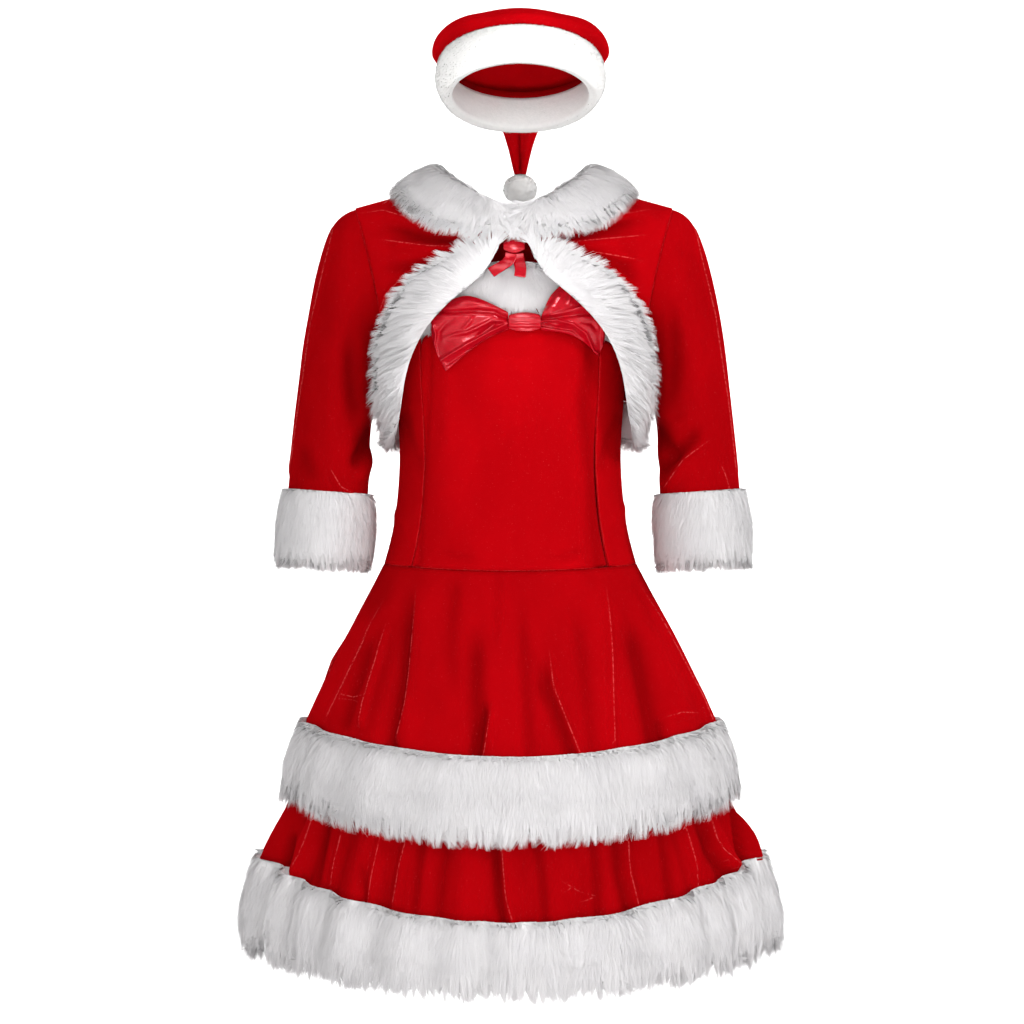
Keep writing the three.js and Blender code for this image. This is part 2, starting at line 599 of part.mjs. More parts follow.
// A four sided panel: rows run between two edges with a bulge, and are drawn to given top and bottom lines
function patch(starts, ends, bottom, top, bulge) {
  const last = starts.length - 1;
  const wide = top.length - 1;
  const row = (i, j) => {
    const u = i / wide;
    return starts[j].clone().lerp(ends[j], u).add(bulge(u, j));
  };
  return steps(wide).map((i) => steps(last).map((j) => {
    const v = j / last;
    const up = top[i].clone().sub(row(i, last)).multiplyScalar(v ** 3);
    const down = bottom[i].clone().sub(row(i, 0)).multiplyScalar((1 - v) ** 3);
    return row(i, j).add(up).add(down);
  }));
}

function frontPanel() {
  const arm = armEdge(true);
  const seam = FRONT_TRIM.slice(0, FRONT_TRIM_CORNER + 1).map((r) => point(r.seam)).reverse();
  const edge = [...seam, ...FRONT_NECK.map(point), NECK_POINT.clone()];
  const hem = steps(SHOULDER_STEPS).map((i) => arm[0].clone().lerp(edge[0], i / SHOULDER_STEPS));
  const chest = (u, j) => {
    const span = edge[j].clone().sub(arm[j]);
    const out = new THREE.Vector3(-span.y, span.x, 0).normalize();
    if (out.dot(arm[j]) < 0) out.negate();
    const width = THREE.MathUtils.clamp((span.length() - CHEST_FULL.from) / CHEST_FULL.over, 0, 1);
    const fullness = CHEST_FULLNESS * Math.sin((Math.PI * j) / (arm.length - 1)) * width;
    return out.multiplyScalar(fullness * Math.sin(Math.PI * u));
  };
  return patch(arm, edge, hem, shoulder, chest);
}

function backPanel() {
  const right = armEdge(false);
  const left = right.map(mirrored);
  const rows = right.length - 1;
  const neck = steps(BACK_NECK_STEPS).map((i) => {
    const a = Math.PI * (i / BACK_NECK_STEPS);
    return new THREE.Vector3(
      -NECK_POINT.x * Math.cos(a), BACK_NECK.y * Math.sin(a),
      THREE.MathUtils.lerp(NECK_POINT.z, BACK_NECK.z, Math.sin(a)));
  });
  const top = [...shoulder.map(mirrored), ...neck.slice(1, -1), ...shoulder.slice().reverse()];
  const bottom = steps(top.length - 1).map((i) => {
    const a = Math.PI * (i / (top.length - 1));
    return new THREE.Vector3(
      -SIDE_SEAM[0][0] * Math.cos(a), BACK_HEM.deep * Math.sin(a), SIDE_SEAM[0][1]);
  });
  const spineY = (j) => THREE.MathUtils.lerp(BACK_HEM.deep, BACK_NECK.y, (j / rows) ** 2)
    + BACK_FULLNESS * Math.sin(Math.PI * j / rows);
  const spineZ = (j) => THREE.MathUtils.lerp(SIDE_SEAM[0][1], BACK_NECK.z, j / rows);
  const round = (u, j) => {
    const a = Math.PI * u;
    return new THREE.Vector3(
      right[j].x * (-Math.cos(a) - (2 * u - 1)),
      (spineY(j) - right[j].y) * Math.sin(a),
      (spineZ(j) - right[j].z) * Math.sin(a));
  };
  return patch(left, right, bottom, top, round);
}

// The sleeve's rings. The first is the armhole itself, and the next ones grow from it
function sleeveColumns() {
  const count = 2 * ARMHOLE_STEPS;
  return steps(count - 1).map((i) => {
    const angle = 270 - (360 * i) / count;
    const a = radians(angle);
    return SLEEVE.map((r, k) => {
      if (k === 0) return armholePoint(angle);
      const out = Math.sin(a);
      return new THREE.Vector3(
        (r.outX + r.inX) / 2 + ((r.outX - r.inX) / 2) * out,
        r.y + r.deep * Math.cos(a),
        (r.outZ + r.inZ) / 2 + ((r.outZ - r.inZ) / 2) * out,
      );
    });
  });
}

function sleeveMiddle(p) {
  const rows = SLEEVE.map((r) => new THREE.Vector3((r.outX + r.inX) / 2, r.y, (r.outZ + r.inZ) / 2));
  const x = Math.sign(p.x);
  const near = rows.map((m) => new THREE.Vector3(m.x * x, m.y, m.z));
  return near.reduce((best, m) => (m.distanceTo(p) < best.distanceTo(p) ? m : best));
}

function addJacketCloth(jacket) {
  const cloth = new Cloth(VELVET);
  const front = frontPanel();
  const sleeve = sleeveColumns();
  const other = (columns) => columns.map((c) => c.map(mirrored));
  cloth.add('jacket_front_left', front, onAxis);
  cloth.add('jacket_front_right', other(front), onAxis);
  cloth.add('jacket_back', backPanel(), onAxis);
  const sleeves = new Cloth(VELVET, 2 * SEAM_GAP);
  sleeves.add('sleeve_left', sleeve, sleeveMiddle, true);
  sleeves.add('sleeve_right', other(sleeve), sleeveMiddle, true);
  const walls = [...cloth.walls(), ...sleeves.walls()];
  for (const { name, geometry } of walls) addPiece(jacket, name, geometry, RED);
}

// A fur piece on the wearer's left and its mirror image on the right
function addPair(group, name, seams, edges, piles, outline, ring) {
  addPiece(group, `${name}_left`, furStrip(seams, edges, piles, outline, ring), WHITE_FUR);
  const other = [seams, edges, piles].map((line) => line.map(mirrored));
  addPiece(group, `${name}_right`, furStrip(...other, outline, ring), WHITE_FUR);
}

function addTrims(jacket) {
  const seams = FRONT_TRIM.map((r) => point(r.seam));
  const edges = FRONT_TRIM.map((r) => point(r.edge));
  const piles = pilesOf(seams, edges, onAxis, false);
  piles[piles.length - 1].set(1, 0, 0);
  seams.forEach((seam, i) => seam.addScaledVector(edges[i].clone().sub(seam).normalize(), TRIM_GAP));
  addPair(jacket, 'front_trim', seams, edges, piles, TRIM_FUR, false);

  const turns = turnsBetween(90 + 2 * SIDE_SEAM_TURN, 270 - 2 * SIDE_SEAM_TURN, 20);
  const hemLine = (turn, z) => new THREE.Vector3(
    BACK_HEM.wide * Math.sin(radians(turn)), -BACK_HEM.deep * Math.cos(radians(turn)), z);
  const hemSeams = turns.map((turn) => hemLine(turn, BACK_HEM.seam));
  const hemEdges = turns.map((turn) => hemLine(turn, BACK_HEM.edge));
  const hemPiles = pilesOf(hemSeams, hemEdges, onAxis, false);
  hemPiles[0].set(1, 0, 0);
  hemPiles[hemPiles.length - 1].set(-1, 0, 0);
  addPiece(jacket, 'hem_trim', furStrip(hemSeams, hemEdges, hemPiles, TRIM_FUR, false), WHITE_FUR);
}

function addCollar(jacket) {
  const whole = [...COLLAR, ...COLLAR.slice(0, -1).reverse().map((r) => ({
    roll: [-r.roll[0], r.roll[1], r.roll[2]],
    fall: [-r.fall[0], r.fall[1], r.fall[2]],
    lean: [-r.lean[0], r.lean[1], r.lean[2]],
  }))];
  const rolls = smooth(whole.map((r) => r.roll), COLLAR_RUNS);
  const falls = smooth(whole.map((r) => r.fall), COLLAR_RUNS);
  const leans = smooth(whole.map((r) => r.lean), COLLAR_RUNS).map((p) => p.normalize());
  addPiece(jacket, 'collar', furStrip(rolls, falls, leans, COLLAR_FUR, false), WHITE_FUR);
}

function addCuffs(jacket) {
  const count = 18;
  const angles = turnsBetween(0, 360, count).slice(0, -1).map(radians);
  const wrist = SLEEVE[SLEEVE.length - 1];
  const ring = (row) => angles.map((a) => new THREE.Vector3(
    (row.outX + row.inX) / 2 + ((row.outX - row.inX) / 2) * Math.sin(a),
    wrist.y + wrist.deep * Math.cos(a),
    (row.outZ + row.inZ) / 2 + ((row.outZ - row.inZ) / 2) * Math.sin(a) - SEAM_GAP));
  const seams = ring(wrist);
  const edges = ring(CUFF);
  const middle = seams.reduce((sum, p) => sum.add(p), new THREE.Vector3()).divideScalar(count);
  const piles = pilesOf(seams, edges, (p) => middle.clone().setZ(p.z), true);
  addPair(jacket, 'cuff', seams, edges, piles, CUFF_FUR, true);
}

// A flat ribbon along a line of points, lying square to a direction
function ribbon(line, wide, thick, across) {
  const sections = line.map((p, i) => {
    const ahead = line[Math.min(i + 1, line.length - 1)].clone().sub(line[Math.max(i - 1, 0)]).normalize();
    const side = across.clone().addScaledVector(ahead, -across.dot(ahead)).normalize();
    const out = new THREE.Vector3().crossVectors(ahead, side);
    const corner = (s, t) => p.clone()
      .addScaledVector(side, (s * wide) / 2)
      .addScaledVector(out, (t * thick) / 2);
    return [corner(-1, -1), corner(0, -1.3), corner(1, -1), corner(1, 1), corner(0, 1.3), corner(-1, 1)];
  });
  return loft(sections, false);
}

function addTie(jacket) {
  const { knotY, knotZ, knotWide, knotHigh, knotDeep, ribbon: wide, thick } = TIE;
  const ball = steps(5).map((i) => {
    const along = i / 5;
    const plump = 0.45 + 0.55 * Math.sin(Math.PI * along);
    return steps(7).slice(0, -1).map((k) => {
      const a = (k / 7) * 2 * Math.PI;
      return new THREE.Vector3(
        knotWide * (2 * along - 1),
        knotY + knotDeep * plump * Math.sin(a),
        knotZ + knotHigh * plump * Math.cos(a));
    });
  });
  addPiece(jacket, 'tie_knot', loft(ball, false), SATIN);
  const across = new THREE.Vector3(1, 0, 0.1);
  for (const { name, line } of TIE_TAILS) {
    const hung = smooth(line.map(([x, y, z]) => [x, knotY + y, knotZ - knotHigh + z]), 6);
    addPiece(jacket, name, ribbon(hung, wide, thick, across), SATIN);
  }
}

function addJacket() {
  const jacket = new THREE.Group();
  addJacketCloth(jacket);
  addTrims(jacket);
  addCollar(jacket);
  addCuffs(jacket);
  addTie(jacket);
  set.add(jacket);
}

// The hat

function addHat() {
  const hat = new THREE.Group();
  hat.position.x = HAT_X;
  const tilt = radians(HAT_MOUTH.tilt);
  const up = new THREE.Vector3(0, Math.sin(tilt), Math.cos(tilt));
  const back = new THREE.Vector3(0, Math.cos(tilt), -Math.sin(tilt));
  const mouth = new THREE.Vector3(0, HAT_MOUTH.y, HAT_MOUTH.z);
  const angles = turnsBetween(0, 360, 28).slice(0, -1).map(radians);
  const turnsOfCrown = turnsBetween(0, 360, 24).slice(0, -1).map(radians);
  const ring = (around, wide, deep, high) => around.map((a) => mouth.clone()
    .addScaledVector(up, high)
    .addScaledVector(back, deep * Math.sin(a))
    .add(new THREE.Vector3(wide * Math.cos(a), 0, 0)));
  const tops = ring(angles, HAT_BAND.wideTop, HAT_BAND.deepTop, HAT_BAND.high);
  const mouths = ring(angles, HAT_BAND.wideMouth, HAT_BAND.deepMouth, 0);
  const core = mouth.clone().addScaledVector(up, HAT_BAND.high / 2);
  const piles = pilesOf(tops, mouths, () => core, true);
  addPiece(hat, 'hat_band', furStrip(tops, mouths, piles, BAND_FUR, true), WHITE_FUR);

  const cloth = new Cloth(HAT_VELVET);
  const bandTop = HAT_BAND.high + SEAM_GAP / 2;
  const seam = ring(turnsOfCrown, HAT_BAND.wideTop, HAT_BAND.deepTop, bandTop);
  const columns = turnsOfCrown.map((a, i) => [seam[i], ...CROWN.map((r, k) => {
    const pleat = k < TAIL_PLEATS.from ? 1 : 1 - TAIL_PLEATS.deep * (1 - Math.cos(TAIL_PLEATS.waves * a)) / 2;
    return new THREE.Vector3(
      r.wide * pleat * Math.cos(a),
      (r.foreY + r.aftY) / 2 + ((r.aftY - r.foreY) / 2) * pleat * Math.sin(a),
      (r.foreZ + r.aftZ) / 2 + ((r.aftZ - r.foreZ) / 2) * pleat * Math.sin(a),
    );
  })]);
  const middles = CROWN.map((r) => new THREE.Vector3(0, (r.foreY + r.aftY) / 2, (r.foreZ + r.aftZ) / 2));
  const crownMiddle = (p) => middles.reduce((best, m) => (m.distanceTo(p) < best.distanceTo(p) ? m : best));
  cloth.add('hat_crown', columns, crownMiddle, true);
  for (const { name, geometry } of cloth.walls()) addPiece(hat, name, geometry, RED);

  const ball = new THREE.IcosahedronGeometry(1, 2);
  ball.deleteAttribute('normal');
  ball.deleteAttribute('uv');
  ball.scale(POMPOM.wide, POMPOM.wide, POMPOM.high);
  ball.translate(0, POMPOM.y, POMPOM.z);
  addPiece(hat, 'pompom', ball, WHITE_FUR);
  set.add(hat);
}

addDress();
addJacket();
addHat();

export default set;
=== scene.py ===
import math
from typing import NamedTuple

import bpy
import numpy as np
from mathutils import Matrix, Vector
from mathutils.bvhtree import BVHTree
from mathutils.kdtree import KDTree


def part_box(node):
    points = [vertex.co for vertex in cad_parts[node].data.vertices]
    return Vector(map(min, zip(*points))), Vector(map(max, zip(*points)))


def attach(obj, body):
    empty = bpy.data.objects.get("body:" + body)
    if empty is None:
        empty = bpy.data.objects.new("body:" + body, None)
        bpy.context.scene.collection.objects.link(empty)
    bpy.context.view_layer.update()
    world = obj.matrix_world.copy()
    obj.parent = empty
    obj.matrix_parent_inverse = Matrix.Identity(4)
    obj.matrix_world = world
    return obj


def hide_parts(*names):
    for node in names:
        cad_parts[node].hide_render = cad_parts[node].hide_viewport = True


bl_info = {
    "name": "Christmas costume set",
    "version": (1, 0, 0),
    "blender": (4, 5, 0),
    "location": "View3D > Sidebar > Costume",
    "description": "Velvet, fur and satin for a costume set of dress, short jacket and stocking hat",
    "category": "Add Mesh",
}

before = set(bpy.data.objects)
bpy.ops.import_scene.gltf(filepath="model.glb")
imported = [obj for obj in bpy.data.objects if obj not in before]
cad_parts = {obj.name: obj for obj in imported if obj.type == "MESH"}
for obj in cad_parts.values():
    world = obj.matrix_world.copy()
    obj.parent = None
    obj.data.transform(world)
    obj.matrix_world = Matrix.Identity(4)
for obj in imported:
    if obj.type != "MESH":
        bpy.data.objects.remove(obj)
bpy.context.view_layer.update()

MM = 0.001

# The eye that the set is seen from: across, back and up from the neck, in mm, and how much it sees across
EYE = (-2.1, -3500.0, -334.0)
SEEN_ACROSS = 1095.7

# The backdrop in metres: its floor's two ends, its curve's radius, its wall's height and its half width
FLOOR_FRONT = -6.0
FLOOR_BACK = 4.0
CURVE = 1.2
WALL_HEIGHT = 6.0
HALF_ACROSS = 8.0


def ridge(high, wide, runs_on, *path):
    """A fold that stands out: its height and half width in mm, which ends run on, and its path.

    A path is drawn in the front view, across and up in mm, also where the fold is behind. An end that runs on
    keeps its full height, and the others fade away."""
    return {"high": high, "wide": wide, "runs_on": runs_on, "path": path}


def trough(deep, wide, runs_on, *path):
    """A fold that lies in."""
    return ridge(-deep, wide, runs_on, *path)


# The folds of the velvet and the satin
FOLDS = {
    "upper_skirt_front": [
        ridge(2.2, 4, "end", (-137, -422), (-179, -512), (-198, -553)),
        ridge(3.2, 4, "end", (-135, -447), (-144, -488), (-159, -538), (-163, -559)),
        ridge(3.4, 4, "end", (-104, -410), (-110, -481), (-116, -538), (-127, -577)),
        trough(4.2, 9, "end", (-109, -412), (-118, -500), (-132, -583)),
        trough(3.4, 10, "end", (-40, -444), (-42, -520), (-38, -594)),
        trough(2.2, 8, "end", (7, -412), (12, -500), (17, -590)),
        trough(1.8, 9, "end", (66, -420), (76, -500), (84, -585)),
        trough(3.4, 5, "end", (-30, -533), (-35, -559), (-43, -593)),
        ridge(2.6, 5, "end", (-24, -539), (-28, -565), (-33, -595)),
        ridge(1.6, 7, "start", (-11, -407), (-13, -454), (-18, -492)),
        ridge(3.0, 4, "end", (37, -476), (41, -519), (52, -548), (70, -593)),
        trough(3.0, 7, "end", (29, -482), (33, -524), (45, -552), (60, -595)),
        ridge(2.8, 4, "end", (98, -404), (103, -481), (106, -580)),
        ridge(2.6, 4, "end", (131, -404), (162, -461), (200, -531), (211, -559)),
        trough(4.0, 10, "end", (122, -440), (136, -500), (150, -578)),
        trough(3.0, 7, "end", (-150, -455), (-166, -510), (-182, -560)),
        trough(2.4, 4, "end", (155, -552), (159, -567), (162, -582)),
        ridge(1.8, 4, "neither", (160, -554), (178, -548), (201, -549)),
        ridge(1.4, 4, "neither", (-190, -527), (-175, -532), (-160, -529)),
        trough(1.4, 9, "start", (-66, -417), (-70, -482), (-63, -535)),
    ],
    "lower_skirt_front": [
        ridge(3.0, 4, "both", (-209, -651), (-223, -691), (-238, -719)),
        ridge(3.0, 4, "both", (-179, -664), (-188, -702), (-193, -728)),
        ridge(3.2, 4, "both", (-137, -666), (-150, -718), (-155, -755)),
        ridge(3.0, 4, "both", (-110, -670), (-121, -711), (-129, -758)),
        trough(2.6, 5, "end", (-165, -708), (-162, -728), (-159, -751)),
        trough(2.2, 6, "both", (-71, -681), (-79, -721), (-83, -765)),
        ridge(4.0, 4, "both", (-14, -683), (-11, -721), (-9, -748), (0, -777)),
        trough(3.2, 6, "both", (-21, -685), (-18, -723), (-16, -753), (-11, -779)),
        ridge(1.8, 7, "both", (49, -687), (56, -728), (54, -773)),
        ridge(1.4, 4, "neither", (49, -728), (71, -741), (96, -747)),
        ridge(3.2, 4, "both", (120, -681), (122, -718), (133, -762)),
        trough(2.8, 6, "both", (110, -683), (113, -721), (122, -762)),
        ridge(2.8, 4, "both", (181, -670), (193, -711), (195, -738)),
        ridge(4.0, 5, "both", (208, -664), (216, -691), (236, -708), (255, -715)),
        trough(3.6, 6, "both", (201, -670), (208, -698), (223, -717), (244, -728)),
        trough(5.0, 4, "both", (236, -644), (242, -690), (247, -722)),
        ridge(4.0, 6, "both", (248, -644), (256, -690), (263, -722)),
        trough(4.0, 4, "both", (-238, -680), (-246, -722)),
        trough(3.4, 5, "both", (-200, -660), (-206, -700), (-212, -730)),
        trough(2.8, 5, "both", (-95, -672), (-104, -715), (-108, -760)),
        trough(2.6, 6, "both", (24, -686), (30, -728), (34, -776)),
        trough(2.8, 6, "both", (84, -684), (88, -722), (90, -768)),
        trough(3.0, 6, "both", (158, -676), (164, -712), (168, -748)),
    ],
    "jacket_front_right": [
        ridge(3.2, 5, "start", (-43, -41), (-83, -27), (-136, -11), (-171, -15)),
        trough(3.0, 6, "start", (-47, -45), (-87, -40), (-154, -26)),
        ridge(2.6, 5, "start", (-49, -50), (-90, -49), (-152, -41)),
        trough(3.2, 6, "start", (-56, -56), (-83, -64), (-121, -72), (-150, -75)),
        ridge(2.6, 5, "start", (-63, -58), (-95, -70), (-124, -81)),
        ridge(2.0, 4, "end", (-114, -80), (-135, -101), (-141, -118)),
    ],
    "jacket_front_left": [
        ridge(3.2, 5, "start", (51, -34), (105, -16), (152, -9)),
        trough(2.8, 6, "start", (54, -41), (101, -28), (148, -19)),
        ridge(2.4, 5, "start", (56, -45), (101, -41), (146, -37)),
        trough(3.2, 6, "start", (60, -50), (86, -57), (120, -72), (142, -96)),
        ridge(2.6, 5, "start", (66, -56), (96, -71), (128, -92)),
        ridge(1.8, 5, "neither", (81, -54), (111, -60), (141, -66)),
    ],
    "sleeve_right": [
        ridge(1.6, 3, "both", (-193, -34), (-216, -129), (-230, -230), (-239, -289)),
        trough(2.6, 9, "neither", (-177, -137), (-173, -200), (-167, -246)),
        ridge(1.6, 12, "neither", (-186, -107), (-190, -182), (-197, -246)),
        trough(4.5, 7, "start", (-152, -246), (-163, -270), (-175, -291)),
        ridge(3.0, 6, "start", (-150, -270), (-160, -289), (-171, -306)),
        ridge(2.6, 7, "start", (-153, -223), (-169, -244), (-188, -261)),
        ridge(2.2, 4, "end", (-198, -285), (-186, -307), (-175, -313)),
        trough(1.8, 8, "neither", (-229, -257), (-223, -285), (-210, -306)),
    ],
    "sleeve_left": [
        ridge(1.6, 3, "both", (193, -34), (214, -124), (228, -214), (236, -289)),
        trough(2.4, 9, "neither", (169, -100), (171, -178), (165, -236)),
        ridge(1.6, 12, "neither", (190, -129), (196, -193), (199, -246)),
        trough(3.8, 7, "start", (154, -246), (169, -270), (182, -280)),
        ridge(3.4, 5, "start", (165, -306), (182, -278), (214, -253)),
        trough(3.4, 7, "start", (160, -287), (180, -266), (205, -240)),
        ridge(2.2, 7, "start", (155, -223), (173, -240), (199, -227)),
        ridge(2.0, 4, "end", (220, -280), (228, -306), (230, -313)),
    ],
    "bodice_front": [
        trough(1.0, 4, "both", (-91, -126), (-90, -178), (-97, -290), (-103, -392)),
        trough(2.4, 10, "both", (85, -155), (79, -215), (87, -290), (94, -392)),
        ridge(1.8, 9, "end", (68, -163), (62, -215), (68, -290), (71, -385)),
        ridge(1.2, 10, "neither", (-73, -150), (-71, -214), (-75, -289)),
        trough(1.0, 5, "neither", (-88, -373), (-62, -381), (-36, -385)),
        trough(1.2, 5, "neither", (28, -385), (55, -381), (83, -370)),
        ridge(1.0, 6, "neither", (-47, -163), (-15, -171), (21, -169)),
    ],
    "upper_skirt_back": [
        ridge(2.4, 4, "end", (-178, -430), (-196, -510), (-208, -562)),
        ridge(3.0, 4, "end", (-128, -410), (-146, -500), (-154, -576)),
        trough(3.4, 6, "end", (-84, -420), (-92, -500), (-102, -582)),
        ridge(2.6, 4, "end", (-40, -404), (-46, -490), (-38, -586)),
        trough(2.8, 6, "end", (8, -440), (14, -520), (6, -586)),
        ridge(3.0, 4, "end", (52, -406), (62, -500), (58, -584)),
        ridge(3.0, 4, "end", (104, -410), (122, -500), (128, -576)),
        trough(2.8, 6, "end", (150, -430), (176, -510), (190, -566)),
    ],
    "lower_skirt_back": [
        ridge(3.0, 4, "both", (-214, -660), (-224, -700), (-232, -716)),
        ridge(3.0, 4, "both", (-160, -664), (-168, -700), (-176, -732)),
        trough(2.8, 5, "both", (-110, -668), (-112, -706), (-120, -742)),
        ridge(3.2, 4, "both", (-60, -672), (-56, -710), (-62, -746)),
        trough(2.6, 5, "both", (-8, -672), (-4, -710), (-10, -748)),
        ridge(3.0, 4, "both", (40, -672), (46, -710), (40, -746)),
        ridge(3.2, 4, "both", (96, -668), (104, -706), (100, -742)),
        trough(2.8, 5, "both", (150, -664), (162, -700), (166, -732)),
        ridge(3.0, 4, "both", (204, -660), (214, -700), (222, -716)),
    ],
    "bodice_back": [
        trough(1.4, 6, "both", (-34, -200), (-30, -260), (-34, -330), (-32, -388)),
        trough(1.4, 6, "both", (26, -196), (22, -260), (24, -330), (22, -388)),
        ridge(1.6, 7, "neither", (-80, -300), (-30, -316), (10, -322)),
        ridge(1.6, 7, "neither", (78, -306), (40, -326), (6, -330)),
        trough(1.4, 6, "neither", (60, -352), (20, -360), (-40, -356)),
    ],
    "bodice_side_left": [
        trough(1.6, 6, "start", (112, -232), (100, -262), (92, -300)),
        ridge(1.4, 6, "start", (116, -330), (104, -352), (96, -366)),
    ],
    "bodice_side_right": [
        trough(1.6, 6, "start", (-118, -232), (-108, -268), (-98, -300)),
        ridge(1.4, 6, "start", (-126, -336), (-114, -356), (-102, -368)),
    ],
    "jacket_back": [
        trough(2.4, 7, "start", (-128, -40), (-92, -66), (-50, -76)),
        trough(2.4, 7, "start", (124, -36), (96, -60), (56, -74)),
        ridge(2.2, 7, "start", (-134, -100), (-90, -124), (-30, -132)),
        ridge(2.2, 7, "start", (132, -104), (96, -122), (44, -134)),
        trough(2.0, 6, "start", (-126, -150), (-84, -164), (-40, -160)),
        trough(2.0, 6, "start", (124, -156), (90, -168), (50, -170)),
        trough(1.4, 5, "end", (-4, -90), (0, -150), (-2, -210)),
    ],
    "hat_crown": [
        ridge(3.4, 18, "start", (-85, 120), (-82, 156), (-66, 184), (-30, 200)),
        ridge(3.4, 18, "start", (100, 120), (97, 156), (81, 184), (45, 200)),
        trough(1.6, 3.5, "start", (-80, 146), (-70, 168), (-52, 184)),
        trough(1.6, 3.5, "start", (95, 146), (85, 168), (68, 182)),
        trough(3.6, 2.4, "both", (5, 70), (5, 52), (6, 34)),
        ridge(1.6, 2.6, "both", (-4, 70), (-1, 52), (2, 36)),
        ridge(1.6, 2.6, "both", (17, 70), (13, 52), (10, 36)),
        trough(1.6, 2, "both", (12, 70), (10, 54), (8, 40)),
    ],
    "bow_loop_right": [
        trough(2.6, 2.6, "both",
            (-6.1, -127.1), (-20.7, -119.7), (-45.6, -118.5), (-68.1, -119.7), (-88.5, -118.5),
        ),
        ridge(1.0, 3.2, "start", (-8.3, -124.2), (-27.5, -114.5), (-50.1, -108.4), (-68.1, -107.3)),
        ridge(2.2, 2.0, "start",
            (-11.3, -129.8), (-25.3, -129.8), (-38.8, -136.6), (-50.1, -141.6), (-65.9, -144.5),
            (-74.9, -148.3), (-69.9, -155.1),
        ),
        ridge(1.6, 2.0, "neither", (-41.1, -122.6), (-49.0, -132.1), (-56.4, -141.1)),
        ridge(2.6, 2.0, "both",
            (-6.7, -132.5), (-27.5, -142.2), (-50.1, -154.7), (-72.7, -168.2), (-81.7, -173.8),
        ),
        trough(1.8, 2.4, "both", (-6.7, -137.0), (-27.5, -147.9), (-50.1, -161.0), (-70.4, -175.0)),
        ridge(1.8, 1.8, "both", (-87.1, -134.3), (-83.9, -143.4), (-85.3, -154.7), (-81.2, -170.5)),
        trough(1.8, 1.8, "start", (-20.7, -132.1), (-32.0, -141.6), (-43.3, -148.3)),
        trough(1.6, 2.6, "neither", (-61.4, -125.8), (-72.7, -132.1), (-80.3, -141.1), (-79.4, -154.7)),
    ],
    "bow_loop_left": [
        trough(2.6, 2.4, "both", (25.5, -128.0), (49.2, -124.9), (71.8, -122.1), (98.9, -120.8)),
        ridge(1.2, 2.6, "start", (26.7, -123.5), (40.2, -112.9), (53.8, -91.4)),
        ridge(2.2, 2.0, "start",
            (40.2, -123.5), (62.8, -117.6), (78.6, -112.7), (85.4, -106.3), (77.5, -104.5),
        ),
        ridge(1.6, 2.2, "neither", (57.4, -91.4), (61.0, -101.6), (56.5, -114.0)),
        ridge(2.4, 2.0, "both",
            (27.8, -130.3), (44.7, -128.9), (62.8, -133.4), (76.8, -143.4), (85.4, -162.8), (92.6, -165.9),
        ),
        trough(2.0, 2.0, "start", (27.8, -133.4), (44.7, -136.1), (62.8, -138.9), (78.6, -152.8)),
        trough(1.4, 1.4, "start", (31.2, -132.1), (40.2, -131.2), (51.5, -132.1)),
        ridge(1.6, 1.8, "both", (93.9, -123.5), (95.5, -138.9), (94.8, -161.4)),
        trough(1.6, 2.4, "neither", (66.4, -129.8), (83.1, -132.1), (90.3, -141.1)),
    ],
}

# The sleeves' folds behind the arm, drawn for the left one
SLEEVE_FOLDS_BEHIND = [
    trough(2.8, 6, "start", (182, -262), (204, -274), (224, -270)),
    ridge(2.4, 6, "start", (178, -290), (200, -296), (226, -292)),
    ridge(1.6, 10, "neither", (176, -120), (184, -180), (188, -230)),
    trough(1.4, 9, "neither", (196, -60), (208, -130), (214, -190)),
]


class Cut(NamedTuple):
    """A velvet piece: its middle line, how finely it is smoothed, its flat cut and what it rests on."""

    middle: str
    levels: int
    flat: tuple
    held: str
    on: str
    area: float = None


CLOTH = {
    "bodice_front": Cut("dress", 3, (0.22, 0.27), "stretched", "neckline_fur_backing"),
    "bodice_side_left": Cut("dress", 3, (0.08, 0.24), "stretched", "neckline_fur_backing"),
    "bodice_side_right": Cut("dress", 3, (0.08, 0.24), "stretched", "neckline_fur_backing"),
    "bodice_back": Cut("dress", 2, (0.33, 0.21), "stretched", "neckline_fur_backing"),
    "upper_skirt_front": Cut("dress", 3, (0.66, 0.21), "hung", "bodice_front_velvet", area=0.1),
    "upper_skirt_back": Cut("dress", 2, (0.66, 0.21), "hung", "bodice_back_velvet", area=0.1),
    "lower_skirt_front": Cut("dress", 2, (0.84, 0.17), "gathered", "upper_skirt_front_velvet"),
    "lower_skirt_back": Cut("dress", 2, (0.84, 0.17), "gathered", "upper_skirt_back_velvet"),
    "jacket_front_left": Cut("body", 3, (0.17, 0.21), "hung", "collar_backing", area=0.022),
    "jacket_front_right": Cut("body", 3, (0.17, 0.21), "hung", "collar_backing", area=0.022),
    "jacket_back": Cut("body", 2, (0.4, 0.24), "hung", "collar_backing"),
    "sleeve_left": Cut("left_arm", 3, (0.36, 0.3), "hung", "jacket_back_velvet", area=0.072),
    "sleeve_right": Cut("right_arm", 3, (0.36, 0.3), "hung", "jacket_back_velvet", area=0.072),
    "hat_crown": Cut("hat", 2, (0.5, 0.32), "gathered", "hat_band_backing", area=0.059),
}

# How thick the CAD's velvet walls are and how far a seam's two edges are moved to meet, in mm
WALL = 2.1
HAT_WALL = 1.7
SEAM_GAP = 0.32
ARMHOLE_GAP = 0.6

# Painted shade: how light each part's velvet is painted beside the bodice, darker where less light falls on
# it
PART_SHADES = {
    "bodice": 1,
    "upper": 0.88,
    "lower": 0.78,
    "jacket": 0.9,
    "sleeve_left": 0.8,
    "sleeve_right": 0.72,
    "hat": 0.94,
}
